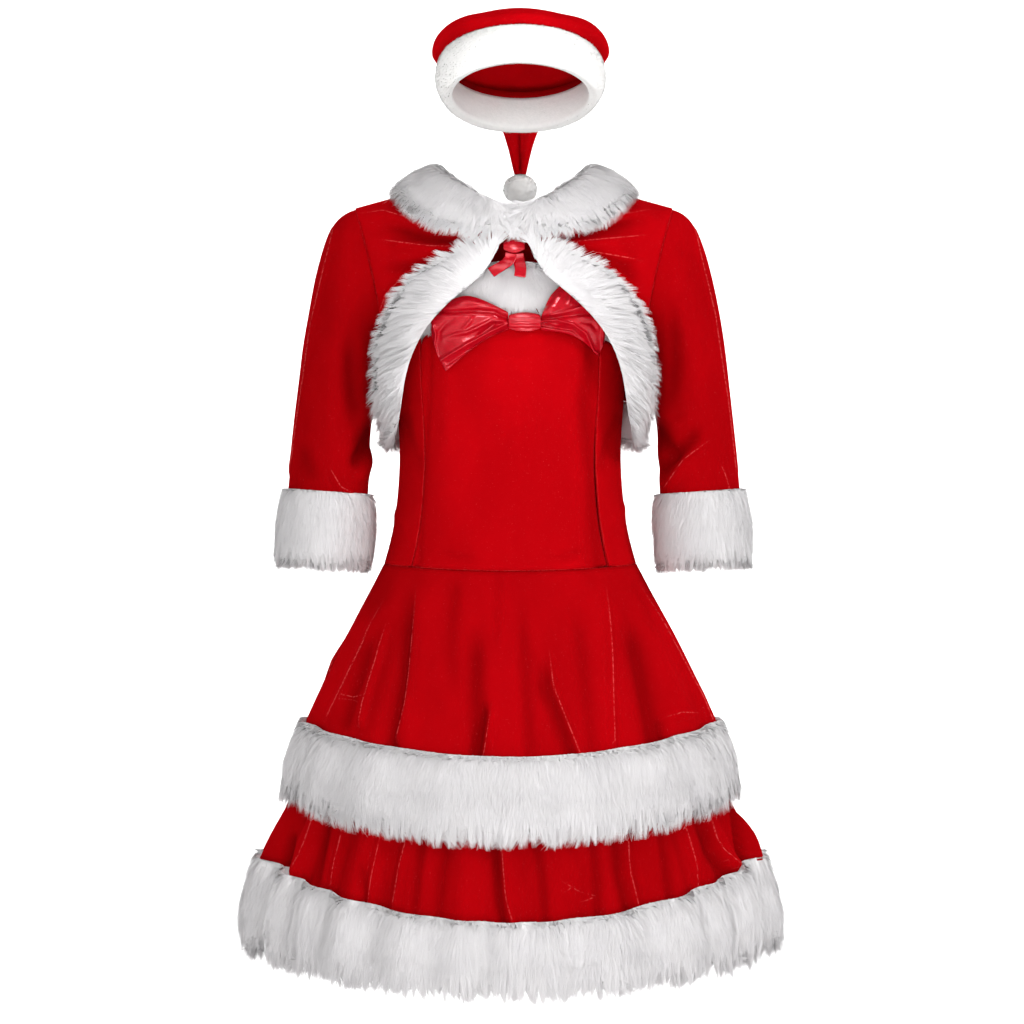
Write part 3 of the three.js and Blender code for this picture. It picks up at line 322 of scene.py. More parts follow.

# In mm: the depth at which a trough's painted shade is darkest, in front and behind the arm, the half width
# of the widest fold that gets a painted sheen line, how far that sheen reaches from its line, and where the
# painted distances end
DARK_DEPTH = 3.4
DARK_DEPTH_BEHIND = 4
SHARP_FOLD = 5
SHEEN_REACH = 5
LINES_END = 8

# In metres: how far the folds in front blend into those behind, how long the velvet's uneven waves are, and
# how far from a border they reach their full height
BLEND = 0.012
WAVE = 0.06
CALM = 0.02

# The lines that the pieces stand out from, in mm
MIDDLES = {
    "dress": [(-4, 0, -75), (-4, 0, -800)],
    "body": [(0, 0, 20), (0, 0, -270)],
    "left_arm": [(154, 0, -81), (172, 0, -101), (179, 0, -123), (189, -2, -192), (199, -10, -315)],
    "right_arm": [(-154, 0, -81), (-172, 0, -101), (-179, 0, -123), (-189, -2, -192), (-199, -10, -315)],
    "collar": [(0, 0, -80), (0, 0, -20)],
    "hat": [(7, 10, 130), (7, 40, 150), (7, 90, 148), (7, 125, 120), (7, 134, 90), (7, 130, 41)],
    "pompom": [(7, 129.5, 22), (7, 129.5, 26)],
}


class Pile(NamedTuple):
    """A fur's pile, its lengths in mm.

    long is a hair's length, deep how far under the pile's face it is rooted and rise how steeply it stands.
    lock is a wisp's width at the free edge and tuft how far it stands past it. lean is the way that the hairs
    lie and thick how densely they grow. None grows where the backing faces further in than bare, from 0 for
    sideways to -1 for inwards."""

    long: float
    deep: float
    rise: float
    lock: float
    tuft: float
    lean: str = "down"
    thick: float = 1
    bare: float = -0.55

    @property
    def is_plush(self):
        """Whether the pile is short and stands up, so that it has no wisps."""
        return self.rise > 1


FUR = {
    "neckline_fur": Pile(17, 3, 0.22, 5, 6, thick=0.9),
    "upper_fur_front": Pile(26, 3.2, 0.14, 6, 10),
    "upper_fur_back": Pile(26, 3.2, 0.14, 6, 10, thick=0.6),
    "hem_fur_front": Pile(26, 3.4, 0.16, 7, 8),
    "hem_fur_back": Pile(26, 3.4, 0.16, 7, 8, thick=0.6),
    "front_trim_left": Pile(19, 3, 0.24, 5, 8, lean="away", thick=1.2, bare=-0.75),
    "front_trim_right": Pile(19, 3, 0.24, 5, 8, lean="away", thick=1.2, bare=-0.75),
    "hem_trim": Pile(19, 3, 0.2, 5, 7, thick=0.8, bare=-0.75),
    "collar": Pile(20, 3, 0.2, 5, 8, lean="round", thick=1.1, bare=-0.85),
    "cuff_left": Pile(19, 3, 0.2, 5, 7),
    "cuff_right": Pile(19, 3, 0.2, 5, 7),
    "hat_band": Pile(1.8, 0.6, 1.2, 4, 0.5, bare=-0.1),
    "pompom": Pile(2.2, 0.7, 1.4, 4, 0.6, thick=1.4, bare=-2),
}

# In mm: how far a backing's seam edge is raised, and the most that its free edge is drawn back
SEAM_RAISE = 3.4
MOST_DRAWN_BACK = 13

# The middle of the jacket's front opening, in metres
OPENING_MIDDLE = (0, 0, -0.17)

# How far a backing's face looks along the hairs where its free edge begins, and against them where its seam
# edge begins and where it is full
FREE_EDGE = 0.55
SEAM_BEGINS = -0.35
SEAM_FULL = -0.75

# How strongly the bow's folds stand out
BOW_FOLDS = 2.1


class COSTUME_PG_colours(bpy.types.PropertyGroup):
    velvet: bpy.props.FloatVectorProperty(
        name="Velvet", description="The red of the velvet's pile", subtype="COLOR", size=4,
        default=(0.385, 0.0008, 0.003, 1), min=0, max=1)
    # Painted sheen: the lighter red painted along sharp folds and seams and in small glints
    velvet_sheen: bpy.props.FloatVectorProperty(
        name="Velvet fold", description="The lighter red where the pile parts along a fold or a seam",
        subtype="COLOR", size=4, default=(0.75, 0.08, 0.08, 1), min=0, max=1)
    satin: bpy.props.FloatVectorProperty(
        name="Satin", description="The red of the bow and the tie", subtype="COLOR", size=4,
        default=(0.4, 0.002, 0.009, 1), min=0, max=1)
    hair: bpy.props.FloatVectorProperty(
        name="Fur", description="The white of the fur's tips", subtype="COLOR", size=4,
        default=(0.72, 0.705, 0.71, 1), min=0, max=1)
    root: bpy.props.FloatVectorProperty(
        name="Fur root", description="The shaded white between the hairs", subtype="COLOR", size=4,
        default=(0.69, 0.675, 0.68, 1), min=0, max=1)
    plush: bpy.props.FloatVectorProperty(
        name="Plush", description="The cream white of the hat's short plush", subtype="COLOR", size=4,
        default=(0.76, 0.755, 0.742, 1), min=0, max=1)


class COSTUME_PG_cloth(bpy.types.PropertyGroup):
    folds: bpy.props.FloatProperty(
        name="Folds", description="How strongly the folds stand out", subtype="FACTOR", default=1.35, min=0,
        max=2)
    seam_sink: bpy.props.FloatProperty(
        name="Seam sink", description="How far the velvet is drawn in along its seams", subtype="DISTANCE",
        unit="LENGTH", default=0.0002, min=0, max=0.004)
    seam_reach: bpy.props.FloatProperty(
        name="Seam reach", description="How far from a seam the velvet is drawn in", subtype="DISTANCE",
        unit="LENGTH", default=0.003, min=0.001, max=0.02)
    wander: bpy.props.FloatProperty(
        name="Unevenness", description="How far the velvet wanders from an even surface", subtype="DISTANCE",
        unit="LENGTH", default=0.0006, min=0, max=0.004)


class COSTUME_PG_fur(bpy.types.PropertyGroup):
    per_cm2: bpy.props.FloatProperty(
        name="Hairs", description="How many hairs stand on each square centimetre",
        default=105, min=1, max=250)
    plush_per_cm2: bpy.props.FloatProperty(
        name="Plush hairs", description="How many hairs the short plush has on each square centimetre",
        default=70, min=1, max=250)
    hair_width: bpy.props.FloatProperty(
        name="Hair width", description="How wide a strand is at its root", subtype="DISTANCE", unit="LENGTH",
        default=0.0011, min=0.0002, max=0.004)
    gather: bpy.props.FloatProperty(
        name="Wisps", description="How closely the tips of a wisp come together at the free edge",
        subtype="FACTOR", default=0.95, min=0, max=1)
    seed: bpy.props.IntProperty(name="Seed", description="Where the hairs fall", default=7, min=0)


class COSTUME_PG_stage(bpy.types.PropertyGroup):
    floor: bpy.props.FloatProperty(
        name="Floor", description="The floor's height below the neck", subtype="DISTANCE", unit="LENGTH",
        default=-1.02, max=0)
    light: bpy.props.FloatProperty(name="Light", description="The soft lights' strength", default=1.07, min=0)


def smoothstep(low, high, value):
    t = np.clip((value - low) / (high - low), 0, 1)
    return t * t * (3 - 2 * t)


def lengths(vectors):
    return np.linalg.norm(vectors, axis=-1, keepdims=True)


def unit(vectors):
    return vectors / np.maximum(lengths(vectors), 1e-9)


def points_of(mesh):
    found = np.empty(len(mesh.vertices) * 3)
    mesh.vertices.foreach_get("co", found)
    return found.reshape(-1, 3)


def normals_of(mesh):
    found = np.empty(len(mesh.vertices) * 3)
    mesh.vertex_normals.foreach_get("vector", found)
    return found.reshape(-1, 3)


def move_points(mesh, points):
    mesh.vertices.foreach_set("co", np.ascontiguousarray(points, float).ravel())
    mesh.update()


def paint(mesh, name, values):
    """Writes a value at each point, for the materials to read."""
    layer = mesh.attributes.new(name, "FLOAT", "POINT")
    layer.data.foreach_set("value", np.ascontiguousarray(values, np.float32))


def new_piece(name, mesh):
    piece = bpy.data.objects.new(name, mesh)
    bpy.context.scene.collection.objects.link(piece)
    return piece


def only(piece):
    bpy.ops.object.select_all(action="DESELECT")
    piece.select_set(True)
    bpy.context.view_layer.objects.active = piece


def merged_copy(node, name):
    """A copy of a CAD node's mesh with its doubles merged and its triangles paired to quads."""
    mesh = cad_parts[node].data.copy()
    mesh.materials.clear()
    piece = new_piece(name, mesh)
    only(piece)
    if mesh.has_custom_normals:
        bpy.ops.mesh.customdata_custom_splitnormals_clear()
    bpy.ops.object.mode_set(mode="EDIT")
    bpy.ops.mesh.select_all(action="SELECT")
    bpy.ops.mesh.remove_doubles(threshold=0.00002)
    bpy.ops.mesh.tris_convert_to_quads(face_threshold=math.pi, shape_threshold=math.pi)
    bpy.ops.object.mode_set(mode="OBJECT")
    return piece


def keep_sharp(mesh, degrees, share):
    """Marks the edges that turn by more than an angle, so that smoothing leaves a share of the turn."""
    angle = math.radians(degrees)
    turned = {}
    for face in mesh.polygons:
        for key in face.edge_keys:
            turned.setdefault(key, []).append(face.normal)
    crease = mesh.attributes.new("crease_edge", "FLOAT", "EDGE")
    for edge in mesh.edges:
        met = turned.get(edge.key, [])
        if len(met) == 2 and met[0].angle(met[1], 0) > angle:
            crease.data[edge.index].value = share


def subdivide(piece, levels):
    only(piece)
    modifier = piece.modifiers.new("Smooth", "SUBSURF")
    modifier.levels = modifier.render_levels = levels
    bpy.ops.object.modifier_apply(modifier="Smooth")
    piece.data.shade_smooth()


def close_seams(mesh, rims, reach):
    """Moves a wall's border outwards over the seam's gap."""
    points = points_of(mesh)
    on_rim = {vertex for edge in rims for vertex in mesh.edges[edge].vertices}
    inner = {vertex: [] for vertex in on_rim}
    for edge in mesh.edges:
        for a, b in (edge.vertices, reversed(edge.vertices)):
            if a in on_rim and b not in on_rim:
                inner[a].append(b)
    moved = points.copy()
    for vertex, others in inner.items():
        if others:
            way = points[vertex] - points[others].mean(0)
            moved[vertex] += way / np.linalg.norm(way) * reach
    move_points(mesh, moved)


def is_rim(points, face, thick):
    """Whether a wall's face is on its rim, where faces are as narrow as the wall is thick."""
    spans = sorted(np.linalg.norm(points[a] - points[b]) for a, b in face.edge_keys)
    return spans[1] < 1.25 * thick


def rim_edges(mesh, thick):
    """The edges along a wall's rim."""
    points = points_of(mesh)
    edges = {tuple(sorted(e.vertices)): e.index for e in mesh.edges}
    rim, side = set(), set()
    for face in mesh.polygons:
        its_side = rim if is_rim(points, face, thick) else side
        its_side.update(edges[tuple(sorted(key))] for key in face.edge_keys)
    return rim & side


def corners_of(mesh, rims, thick):
    """The points where a panel's border turns a corner: only one face of the cloth's side meets there."""
    points = points_of(mesh)
    met = {vertex: 0 for edge in rims for vertex in mesh.edges[edge].vertices}
    for face in mesh.polygons:
        if not is_rim(points, face, thick):
            for vertex in face.vertices:
                if vertex in met:
                    met[vertex] += 1
    return [vertex for vertex, count in met.items() if count == 1]


def from_middle(points, line):
    """The way out from a garment's middle line, for each point."""
    rows = np.array(line) * MM
    best = np.full(len(points), np.inf)
    out = np.zeros_like(points)
    for a, b in zip(rows[:-1], rows[1:]):
        d = b - a
        t = np.clip((points - a) @ d / (d @ d), 0, 1)
        away = points - (a + t[:, None] * d)
        far = np.linalg.norm(away, axis=1)
        near = far < best
        best[near], out[near] = far[near], away[near]
    return unit(out)


def front_view(points):
    """Where the points stand in the front view, across and up in mm at the dress's middle."""
    closer = -EYE[1] / (-EYE[1] + points[:, 1] / MM)
    return np.stack([points[:, 0] / MM * closer, EYE[2] + (points[:, 2] / MM - EYE[2]) * closer], 1)


def fold_height(seen, fold):
    """A fold at points of the front view: its height, how far its line is, and how far it has faded."""
    path = np.array(fold["path"], float)
    spans = np.linalg.norm(np.diff(path, axis=0), axis=1)
    starts = np.concatenate([[0], np.cumsum(spans)])
    best = np.full(len(seen), np.inf)
    along, side = np.zeros(len(seen)), np.ones(len(seen))
    for k, (a, b) in enumerate(zip(path[:-1], path[1:])):
        d = b - a
        t = np.clip((seen - a) @ d / (d @ d), 0, 1)
        away = seen - (a + t[:, None] * d)
        far = np.linalg.norm(away, axis=1)
        near = far < best
        best[near], along[near] = far[near], ((starts[k] + t * spans[k]) / starts[-1])[near]
        side[near] = np.sign(d[0] * away[:, 1] - d[1] * away[:, 0])[near]
    fade = np.ones(len(seen))
    if fold["runs_on"] in ("end", "neither"):
        fade *= smoothstep(0, 0.35, along)
    if fold["runs_on"] in ("start", "neither"):
        fade *= smoothstep(0, 0.35, 1 - along)
    return fold["high"] * np.exp(-((best / fold["wide"]) ** 2)) * fade, best * side, fade


def wander(points, scale, seed):
    """A smooth unevenness from -1 to 1, from a few crossed waves."""
    rng = np.random.default_rng(seed)
    total = np.zeros(len(points))
    for _ in range(7):
        way = unit(rng.normal(size=(1, 3)))[0] * 2 * math.pi / scale * rng.uniform(0.6, 1.7)
        total += np.sin(points @ way + rng.uniform(0, 2 * math.pi))
    return total / 4


def ready(piece, node, material):
    """Gives a piece its material, hangs it on the root body's empty, and hides its CAD node in its place."""
    piece.data.materials.clear()
    piece.data.materials.append(material)
    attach(piece, "root")
    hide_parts(node)


def lay_folds(node, seen, in_front, folds_behind):
    """A velvet piece's folds at points of the front view: their height, painted shade and painted sheen
    lines.
    """
    high, trough_shade = np.zeros(len(seen)), np.zeros(len(seen))
    line, painted_sheen = np.full(len(seen), float(LINES_END)), np.zeros(len(seen))
    for fold in FOLDS.get(node, []):
        height, far, fade = fold_height(seen, fold)
        high += height * in_front
        # Painted shade: the deeper a trough, the darker its velvet is painted
        trough_shade += np.maximum(-height, 0) / DARK_DEPTH * in_front
        # Painted sheen: a thin lighter line is painted along each sharp ridge
        if fold["high"] > 0 and fold["wide"] <= SHARP_FOLD and node != "hat_crown":
            nearer = np.abs(far) < np.abs(line)
            line[nearer] = far[nearer]
            painted_sheen[nearer] = (np.exp(-((far / SHEEN_REACH) ** 2)) * fade * in_front)[nearer]
    mirror = 1 if node.endswith("left") else (-1, 1)
    for fold in folds_behind:
        height, _, _ = fold_height(seen * mirror, fold)
        high += height * (1 - in_front)
        # Painted shade in the troughs behind the arm
        trough_shade += np.maximum(-height, 0) / DARK_DEPTH_BEHIND * (1 - in_front)
    return high, np.minimum(trough_shade, 1), line, painted_sheen


def sharpen_rim(mesh, thick):
    """Marks a wall's border and corners to stay sharp, and returns the border's edges."""
    rims = rim_edges(mesh, thick)
    edges = mesh.attributes.new("crease_edge", "FLOAT", "EDGE")
    for edge in rims:
        edges.data[edge].value = 1.0
    corners = mesh.attributes.new("crease_vert", "FLOAT", "POINT")
    for vertex in corners_of(mesh, rims, thick):
        corners.data[vertex].value = 1.0
    return rims


def make_cloth(node, folds_behind=()):
    """A velvet piece as a smooth thin wall with its folds, drawn in along its seams."""
    cloth = bpy.context.scene.costume_cloth
    cut = CLOTH[node]
    piece = merged_copy(node, f"{node}_velvet")
    mesh = piece.data
    rims = sharpen_rim(mesh, (HAT_WALL if node == "hat_crown" else WALL) * MM)
    close_seams(mesh, rims, (ARMHOLE_GAP if node.startswith("sleeve") else SEAM_GAP) * MM)
    subdivide(piece, cut.levels)
    points = points_of(mesh)
    middle = MIDDLES[cut.middle]
    in_front = smoothstep(BLEND, -BLEND, points[:, 1] - np.mean([p[1] for p in middle]) * MM)
    if node.endswith("_back") or node == "hat_crown":
        in_front = np.ones(len(points))
    high, trough_shade, line, painted_sheen = lay_folds(node, front_view(points), in_front, folds_behind)
    edge = border_distance(mesh)
    sunk = -cloth.seam_sink * np.exp(-((edge / cloth.seam_reach) ** 2))
    seed = sorted(CLOTH).index(node)
    uneven = cloth.wander * wander(points * (1, 1, 0.6), WAVE, seed) * smoothstep(0, CALM, edge)
    out = from_middle(points, middle)
    move_points(mesh, points + out * (high * MM * cloth.folds + sunk + uneven)[:, None])
    # Painted shade: each part's velvet red is darkened by its share
    tone_and_shade = next(share for start, share in PART_SHADES.items() if node.startswith(start))
    paint(mesh, "tone_and_shade", np.full(len(points), tone_and_shade))
    paint(mesh, "trough_shade", trough_shade)
    # These place the painted sheen lines along the folds and the seams
    paint(mesh, "fold_line", line)
    paint(mesh, "fold_sheen", painted_sheen)
    paint(mesh, "seam_line", np.minimum(edge / MM, LINES_END))
    ready(piece, node, velvet())


def border_distance(mesh):
    """How far each point is from its panel's border, whose edges are marked as sharp."""
    marked = np.empty(len(mesh.edges), np.float32)
    mesh.attributes["crease_edge"].data.foreach_get("value", marked)
    ends = np.empty(len(mesh.edges) * 2, np.int64)
    mesh.edges.foreach_get("vertices", ends)
    on_rim = np.unique(ends.reshape(-1, 2)[marked > 0.5])
    points = points_of(mesh)
    tree = KDTree(len(on_rim))
    for k, index in enumerate(on_rim):
        tree.insert(points[index], k)
    tree.balance()
    return np.array([tree.find(p)[2] for p in points])


def shaded_nodes(name):
    """A new material's nodes: its tree, its shader and its object coordinates."""
    material = bpy.data.materials.new(name)
    material.use_nodes = True
    tree = material.node_tree
    shader = tree.nodes["Principled BSDF"]
    place = tree.nodes.new("ShaderNodeTexCoord")
    return material, tree, shader, place.outputs["Object"]


def noise(tree, place, scale, detail, stretch=(1, 1, 1)):
    """A cloudy value from 0 to 1, as fine as its scale, drawn out where its stretch is below 1."""
    mapping = tree.nodes.new("ShaderNodeMapping")
    mapping.inputs["Scale"].default_value = stretch
    tree.links.new(place, mapping.inputs["Vector"])
    texture = tree.nodes.new("ShaderNodeTexNoise")
    texture.inputs["Scale"].default_value = scale
    texture.inputs["Detail"].default_value = detail
    tree.links.new(mapping.outputs["Vector"], texture.inputs["Vector"])
    return texture.outputs["Fac"]


def spread(tree, value, low, high, to_low=0.0, to_high=1.0):
    """A texture's value between two limits, spread over two others."""
    node = tree.nodes.new("ShaderNodeMapRange")
    node.interpolation_type = "SMOOTHSTEP"
    for name, number in (("From Min", low), ("From Max", high), ("To Min", to_low), ("To Max", to_high)):
        node.inputs[name].default_value = number
    tree.links.new(value, node.inputs["Value"])
    return node.outputs["Result"]


def mix(tree, share, first, second, blend="MIX"):
    """Mixes two colours by a share. Each of the three is a socket or a value."""
    node = tree.nodes.new("ShaderNodeMix")
    node.data_type = "RGBA"
    node.blend_type = blend
    for name, value in (("Factor_Float", share), ("A_Color", first), ("B_Color", second)):
        socket = next(found for found in node.inputs if found.identifier == name)
        if isinstance(value, bpy.types.NodeSocket):
            tree.links.new(value, socket)
        else:
            socket.default_value = value
    return next(found for found in node.outputs if found.identifier == "Result_Color")


def painted(tree, name):
    """A value that is painted on the points."""
    node = tree.nodes.new("ShaderNodeAttribute")
    node.attribute_name = name
    return node.outputs["Fac"]


def worked_out(tree, operation, *values):
    """The result of a sum on sockets."""
    node = tree.nodes.new("ShaderNodeMath")
    node.operation = operation
    for value, socket in zip(values, node.inputs):
        tree.links.new(value, socket)
    return node.outputs["Value"]


def times(tree, first, second):
    return worked_out(tree, "MULTIPLY", first, second)


def bump(tree, shader, layers):
    """Stacks bumps on a shader: each is a height from a texture, its depth in metres and its strength."""
    before = None
    for height, depth, strength in layers:
        node = tree.nodes.new("ShaderNodeBump")
        node.inputs["Distance"].default_value = depth
        node.inputs["Strength"].default_value = strength
        tree.links.new(height, node.inputs["Height"])
        if before is not None:
            tree.links.new(before, node.inputs["Normal"])
        before = node.outputs["Normal"]
    tree.links.new(before, shader.inputs["Normal"])


def dimmed(colour, share):
    return (*(c * share for c in colour[:3]), 1)


def velvet():
    """Short piled velvet: patches where the nap lies another way, painted glints, shade and sheen lines."""
    found = bpy.data.materials.get("red velvet")
    if found:
        return found
    colours = bpy.context.scene.costume_colours
    material, tree, shader, place = shaded_nodes("red velvet")
    base, painted_sheen = tuple(colours.velvet), tuple(colours.velvet_sheen)
    patches = spread(tree, noise(tree, place, 16, 3, (1, 1, 0.45)), 0.36, 0.66)
    colour = mix(tree, patches, dimmed(base, 0.9), dimmed(base, 1.05))
    # Painted shade: the red darkens in the fold troughs towards a shaded copy of itself
    colour = mix(tree, painted(tree, "trough_shade"), colour, dimmed(base, 0.58))
    # Painted glints: fine specks of the sheen's lighter red
    painted_glints = noise(tree, place, 700, 2)
    colour = mix(tree, spread(tree, painted_glints, 0.64, 0.8, 0.0, 0.35), colour, painted_sheen)
    grain = noise(tree, place, 1400, 2)
    colour = mix(tree, spread(tree, grain, 0.3, 0.7, 0.0, 0.25), colour, dimmed(base, 0.75))
    broken = spread(tree, noise(tree, place, 420, 2), 0.4, 0.6)
    # Painted sheen along the seams, broken by noise
    seam = times(tree, spread(tree, painted(tree, "seam_line"), 0.2, 0.9, 0.16, 0.0), broken)
    colour = mix(tree, seam, colour, painted_sheen)
    # Painted sheen along the sharp folds' ridges, broken by noise
    fold = spread(tree, worked_out(tree, "ABSOLUTE", painted(tree, "fold_line")), 0.1, 0.9, 0.6, 0.0)
    fold = times(tree, times(tree, fold, painted(tree, "fold_sheen")), broken)
    colour = mix(tree, fold, colour, painted_sheen)
    # Painted shade: the red is darkened by each part's share
    colour = mix(tree, painted(tree, "tone_and_shade"), (0, 0, 0, 1), colour)
    tree.links.new(colour, shader.inputs["Base Color"])
    shader.inputs["Roughness"].default_value = 0.85
    shader.inputs["Specular IOR Level"].default_value = 0.0
    shader.inputs["Sheen Weight"].default_value = 0.1
    shader.inputs["Sheen Roughness"].default_value = 0.35
    shader.inputs["Sheen Tint"].default_value = (1.0, 0.02, 0.03, 1)
    bump(tree, shader, [(grain, 0.0004, 0.35), (noise(tree, place, 120, 3, (1, 1, 0.6)), 0.0008, 0.25)])
    return material


def satin():
    """Glossy satin with a fine thread and small crinkles."""
    found = bpy.data.materials.get("red satin")
    if found:
        return found
    colours = bpy.context.scene.costume_colours
    material, tree, shader, place = shaded_nodes("red satin")
    base = tuple(colours.satin)
    thread = noise(tree, place, 900, 1, (0.15, 1, 1))
    colour = mix(tree, spread(tree, thread, 0.35, 0.65), dimmed(base, 0.88), dimmed(base, 1.06))
    tree.links.new(colour, shader.inputs["Base Color"])
    shader.inputs["Roughness"].default_value = 0.18
    shader.inputs["Specular IOR Level"].default_value = 0.9
    shader.inputs["Specular Tint"].default_value = (1.0, 0.36, 0.4, 1)
    bump(tree, shader, [(thread, 0.0002, 0.3), (noise(tree, place, 90, 2, (0.5, 1, 1)), 0.0016, 0.35)])
    return material


def hair():
    """White fur, shaded towards the roots."""
    found = bpy.data.materials.get("white fur")
    if found:
        return found
    colours = bpy.context.scene.costume_colours
    material, tree, shader, place = shaded_nodes("white fur")
    colour = mix(tree, painted(tree, "tip"), tuple(colours.root), tuple(colours.hair))
    tone_and_shade = spread(tree, noise(tree, place, 45, 2), 0.3, 0.7)
    colour = mix(tree, tone_and_shade, colour, (0.97, 0.97, 0.975, 1), "MULTIPLY")
    tree.links.new(colour, shader.inputs["Base Color"])
    shader.inputs["Roughness"].default_value = 0.8
    shader.inputs["Specular IOR Level"].default_value = 0.1
    shader.inputs["Sheen Weight"].default_value = 0.2
    return material


def plush():
    """The short cream-white plush of the hat's band and pompom."""
    found = bpy.data.materials.get("cream plush")
    if found:
        return found
    colours = bpy.context.scene.costume_colours
    material, tree, shader, place = shaded_nodes("cream plush")
    base = tuple(colours.plush)
    clumps = spread(tree, noise(tree, place, 240, 3), 0.32, 0.68)
    colour = mix(tree, clumps, dimmed(base, 0.96), dimmed(base, 1.02))
    # Painted shade: the plush is a little darker towards its roots
    colour = mix(tree, painted(tree, "tip"), dimmed(base, 0.95), colour)
    tree.links.new(colour, shader.inputs["Base Color"])
    shader.inputs["Roughness"].default_value = 0.85
    shader.inputs["Specular IOR Level"].default_value = 0.15
    shader.inputs["Sheen Weight"].default_value = 0.3
    curls, lumps = noise(tree, place, 500, 3), noise(tree, place, 110, 2)
    bump(tree, shader, [(curls, 0.0008, 0.35), (lumps, 0.0015, 0.25)])
    return material


def lean_of(kind, points):
    """Which way the hairs lie at points of a fur: down, away from the jacket's opening, or round the neck.

    At the jacket's front middle they lie across, so that they close over the gap between the two sides."""
    way = np.tile([0.0, 0.0, -1.0], (len(points), 1))
    if kind == "away":
        out, down = 0.9, -0.4
        way = unit((points - OPENING_MIDDLE) * (1, 0, 1)) * out + (0, 0, down)
    if kind == "round":
        way[:, :2] = unit(points[:, :2]) * 0.9
    if kind != "down":
        close = smoothstep(0.03, 0.004, np.abs(points[:, 0])) * (points[:, 1] < 0)
        way[:, 0] -= np.sign(points[:, 0]) * close * 1.3
    return unit(way)


def make_backing(node, pile, levels):
    """The fur's backing: the fur's own form, drawn in to where the hairs are rooted."""
    piece = merged_copy(node, f"{node}_backing")
    if node != "pompom":
        keep_sharp(piece.data, degrees=58, share=0.8)
    subdivide(piece, levels)
    mesh = piece.data
    points, normals = points_of(mesh), normals_of(mesh)
    lumps = wander(points, 0.045, 3) * 0.25 * pile.deep
    lean = lean_of(pile.lean, points)
    facing = (normals * lean).sum(1)
    back = np.clip(facing, 0, 1) * min(0.55 * pile.long, MOST_DRAWN_BACK) * (not pile.is_plush)
    raised = np.clip(-facing, 0, 1) * SEAM_RAISE * (not pile.is_plush)
    sink = normals - lean * np.minimum(facing, 0)[:, None]
    # The halves of a band meet at the sides, and the collar's at the front, so there they keep their ends
    if node.endswith(("fur_front", "fur_back")):
        sink[:, 1] *= 1 - smoothstep(0.015, 0.004, np.abs(points[:, 1]))
    if pile.lean == "round":
        sink[:, 0] *= 1 - smoothstep(0.02, 0.008, np.abs(points[:, 0])) * (points[:, 1] < 0)
    moved = points - sink * ((pile.deep + lumps) * MM)[:, None] - lean * ((back + raised) * MM)[:, None]
    move_points(mesh, moved)
    paint(mesh, "tip", np.full(len(points), 0.6))
    return piece


def triangle_arrays(mesh):
    mesh.calc_loop_triangles()
    corners = np.empty(len(mesh.loop_triangles) * 3, np.int64)
    mesh.loop_triangles.foreach_get("vertices", corners)
    return corners.reshape(-1, 3)


def nearest(points, centres):
    """For each point, which centre is nearest and how far away it is."""
    tree = KDTree(len(centres))
    for k, centre in enumerate(centres):
        tree.insert(centre, k)
    tree.balance()
    found = [tree.find(p) for p in points]
    return np.array([f[1] for f in found]), np.array([f[2] for f in found])


def hair_roots(mesh, rng, dense, middle, bare):
    """Places spread over a backing, apart from what faces inwards: a point and its normal for each."""
    points, normals = points_of(mesh), normals_of(mesh)
    corners = triangle_arrays(mesh)
    a, b, c = (points[corners[:, k]] for k in range(3))
    cross = np.cross(b - a, c - a)
    area = np.linalg.norm(cross, axis=1) / 2
    facing = (unit(cross) * from_middle((a + b + c) / 3, middle)).sum(1)
    area = np.where(facing < bare, 0, area)
    count = int(area.sum() * 1e4 * dense)
    pick = rng.choice(len(corners), count, p=area / area.sum())
    share = rng.random((count, 2))
    share = np.where(share.sum(1, keepdims=True) > 1, 1 - share, share)
    share = np.concatenate([1 - share.sum(1, keepdims=True), share], 1)
    root = np.einsum("nk,nkd->nd", share, points[corners[pick]])
    way = unit(np.einsum("nk,nkd->nd", share, normals[corners[pick]]))
    return root, way


def join_hairs(name, strands):
    """One mesh with a triangle for each hair, from its three corners."""
    hairs = bpy.data.meshes.new(name)
    count = len(strands)
    hairs.vertices.add(count * 3)
    hairs.vertices.foreach_set("co", strands.ravel())
    hairs.loops.add(count * 3)
    hairs.loops.foreach_set("vertex_index", np.arange(count * 3))
    hairs.polygons.add(count)
    hairs.polygons.foreach_set("loop_start", np.arange(count) * 3)
    hairs.update(calc_edges=True)
    hairs.validate()
    hairs.shade_smooth()
    return hairs


def hold_in(tips, node, over):
    """Moves tips that stand too far out of the CAD's own pile back to it, each with its own limit."""
    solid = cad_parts[node].data
    outside = BVHTree.FromPolygons([Vector(p) for p in points_of(solid)], triangle_arrays(solid).tolist())
    for k, tip in enumerate(tips):
        near, normal, _, away = outside.find_nearest(Vector(tip))
        if away > over[k] and (Vector(tip) - near).dot(normal) > 0:
            tips[k] = near + (Vector(tip) - near) * (over[k] / away)


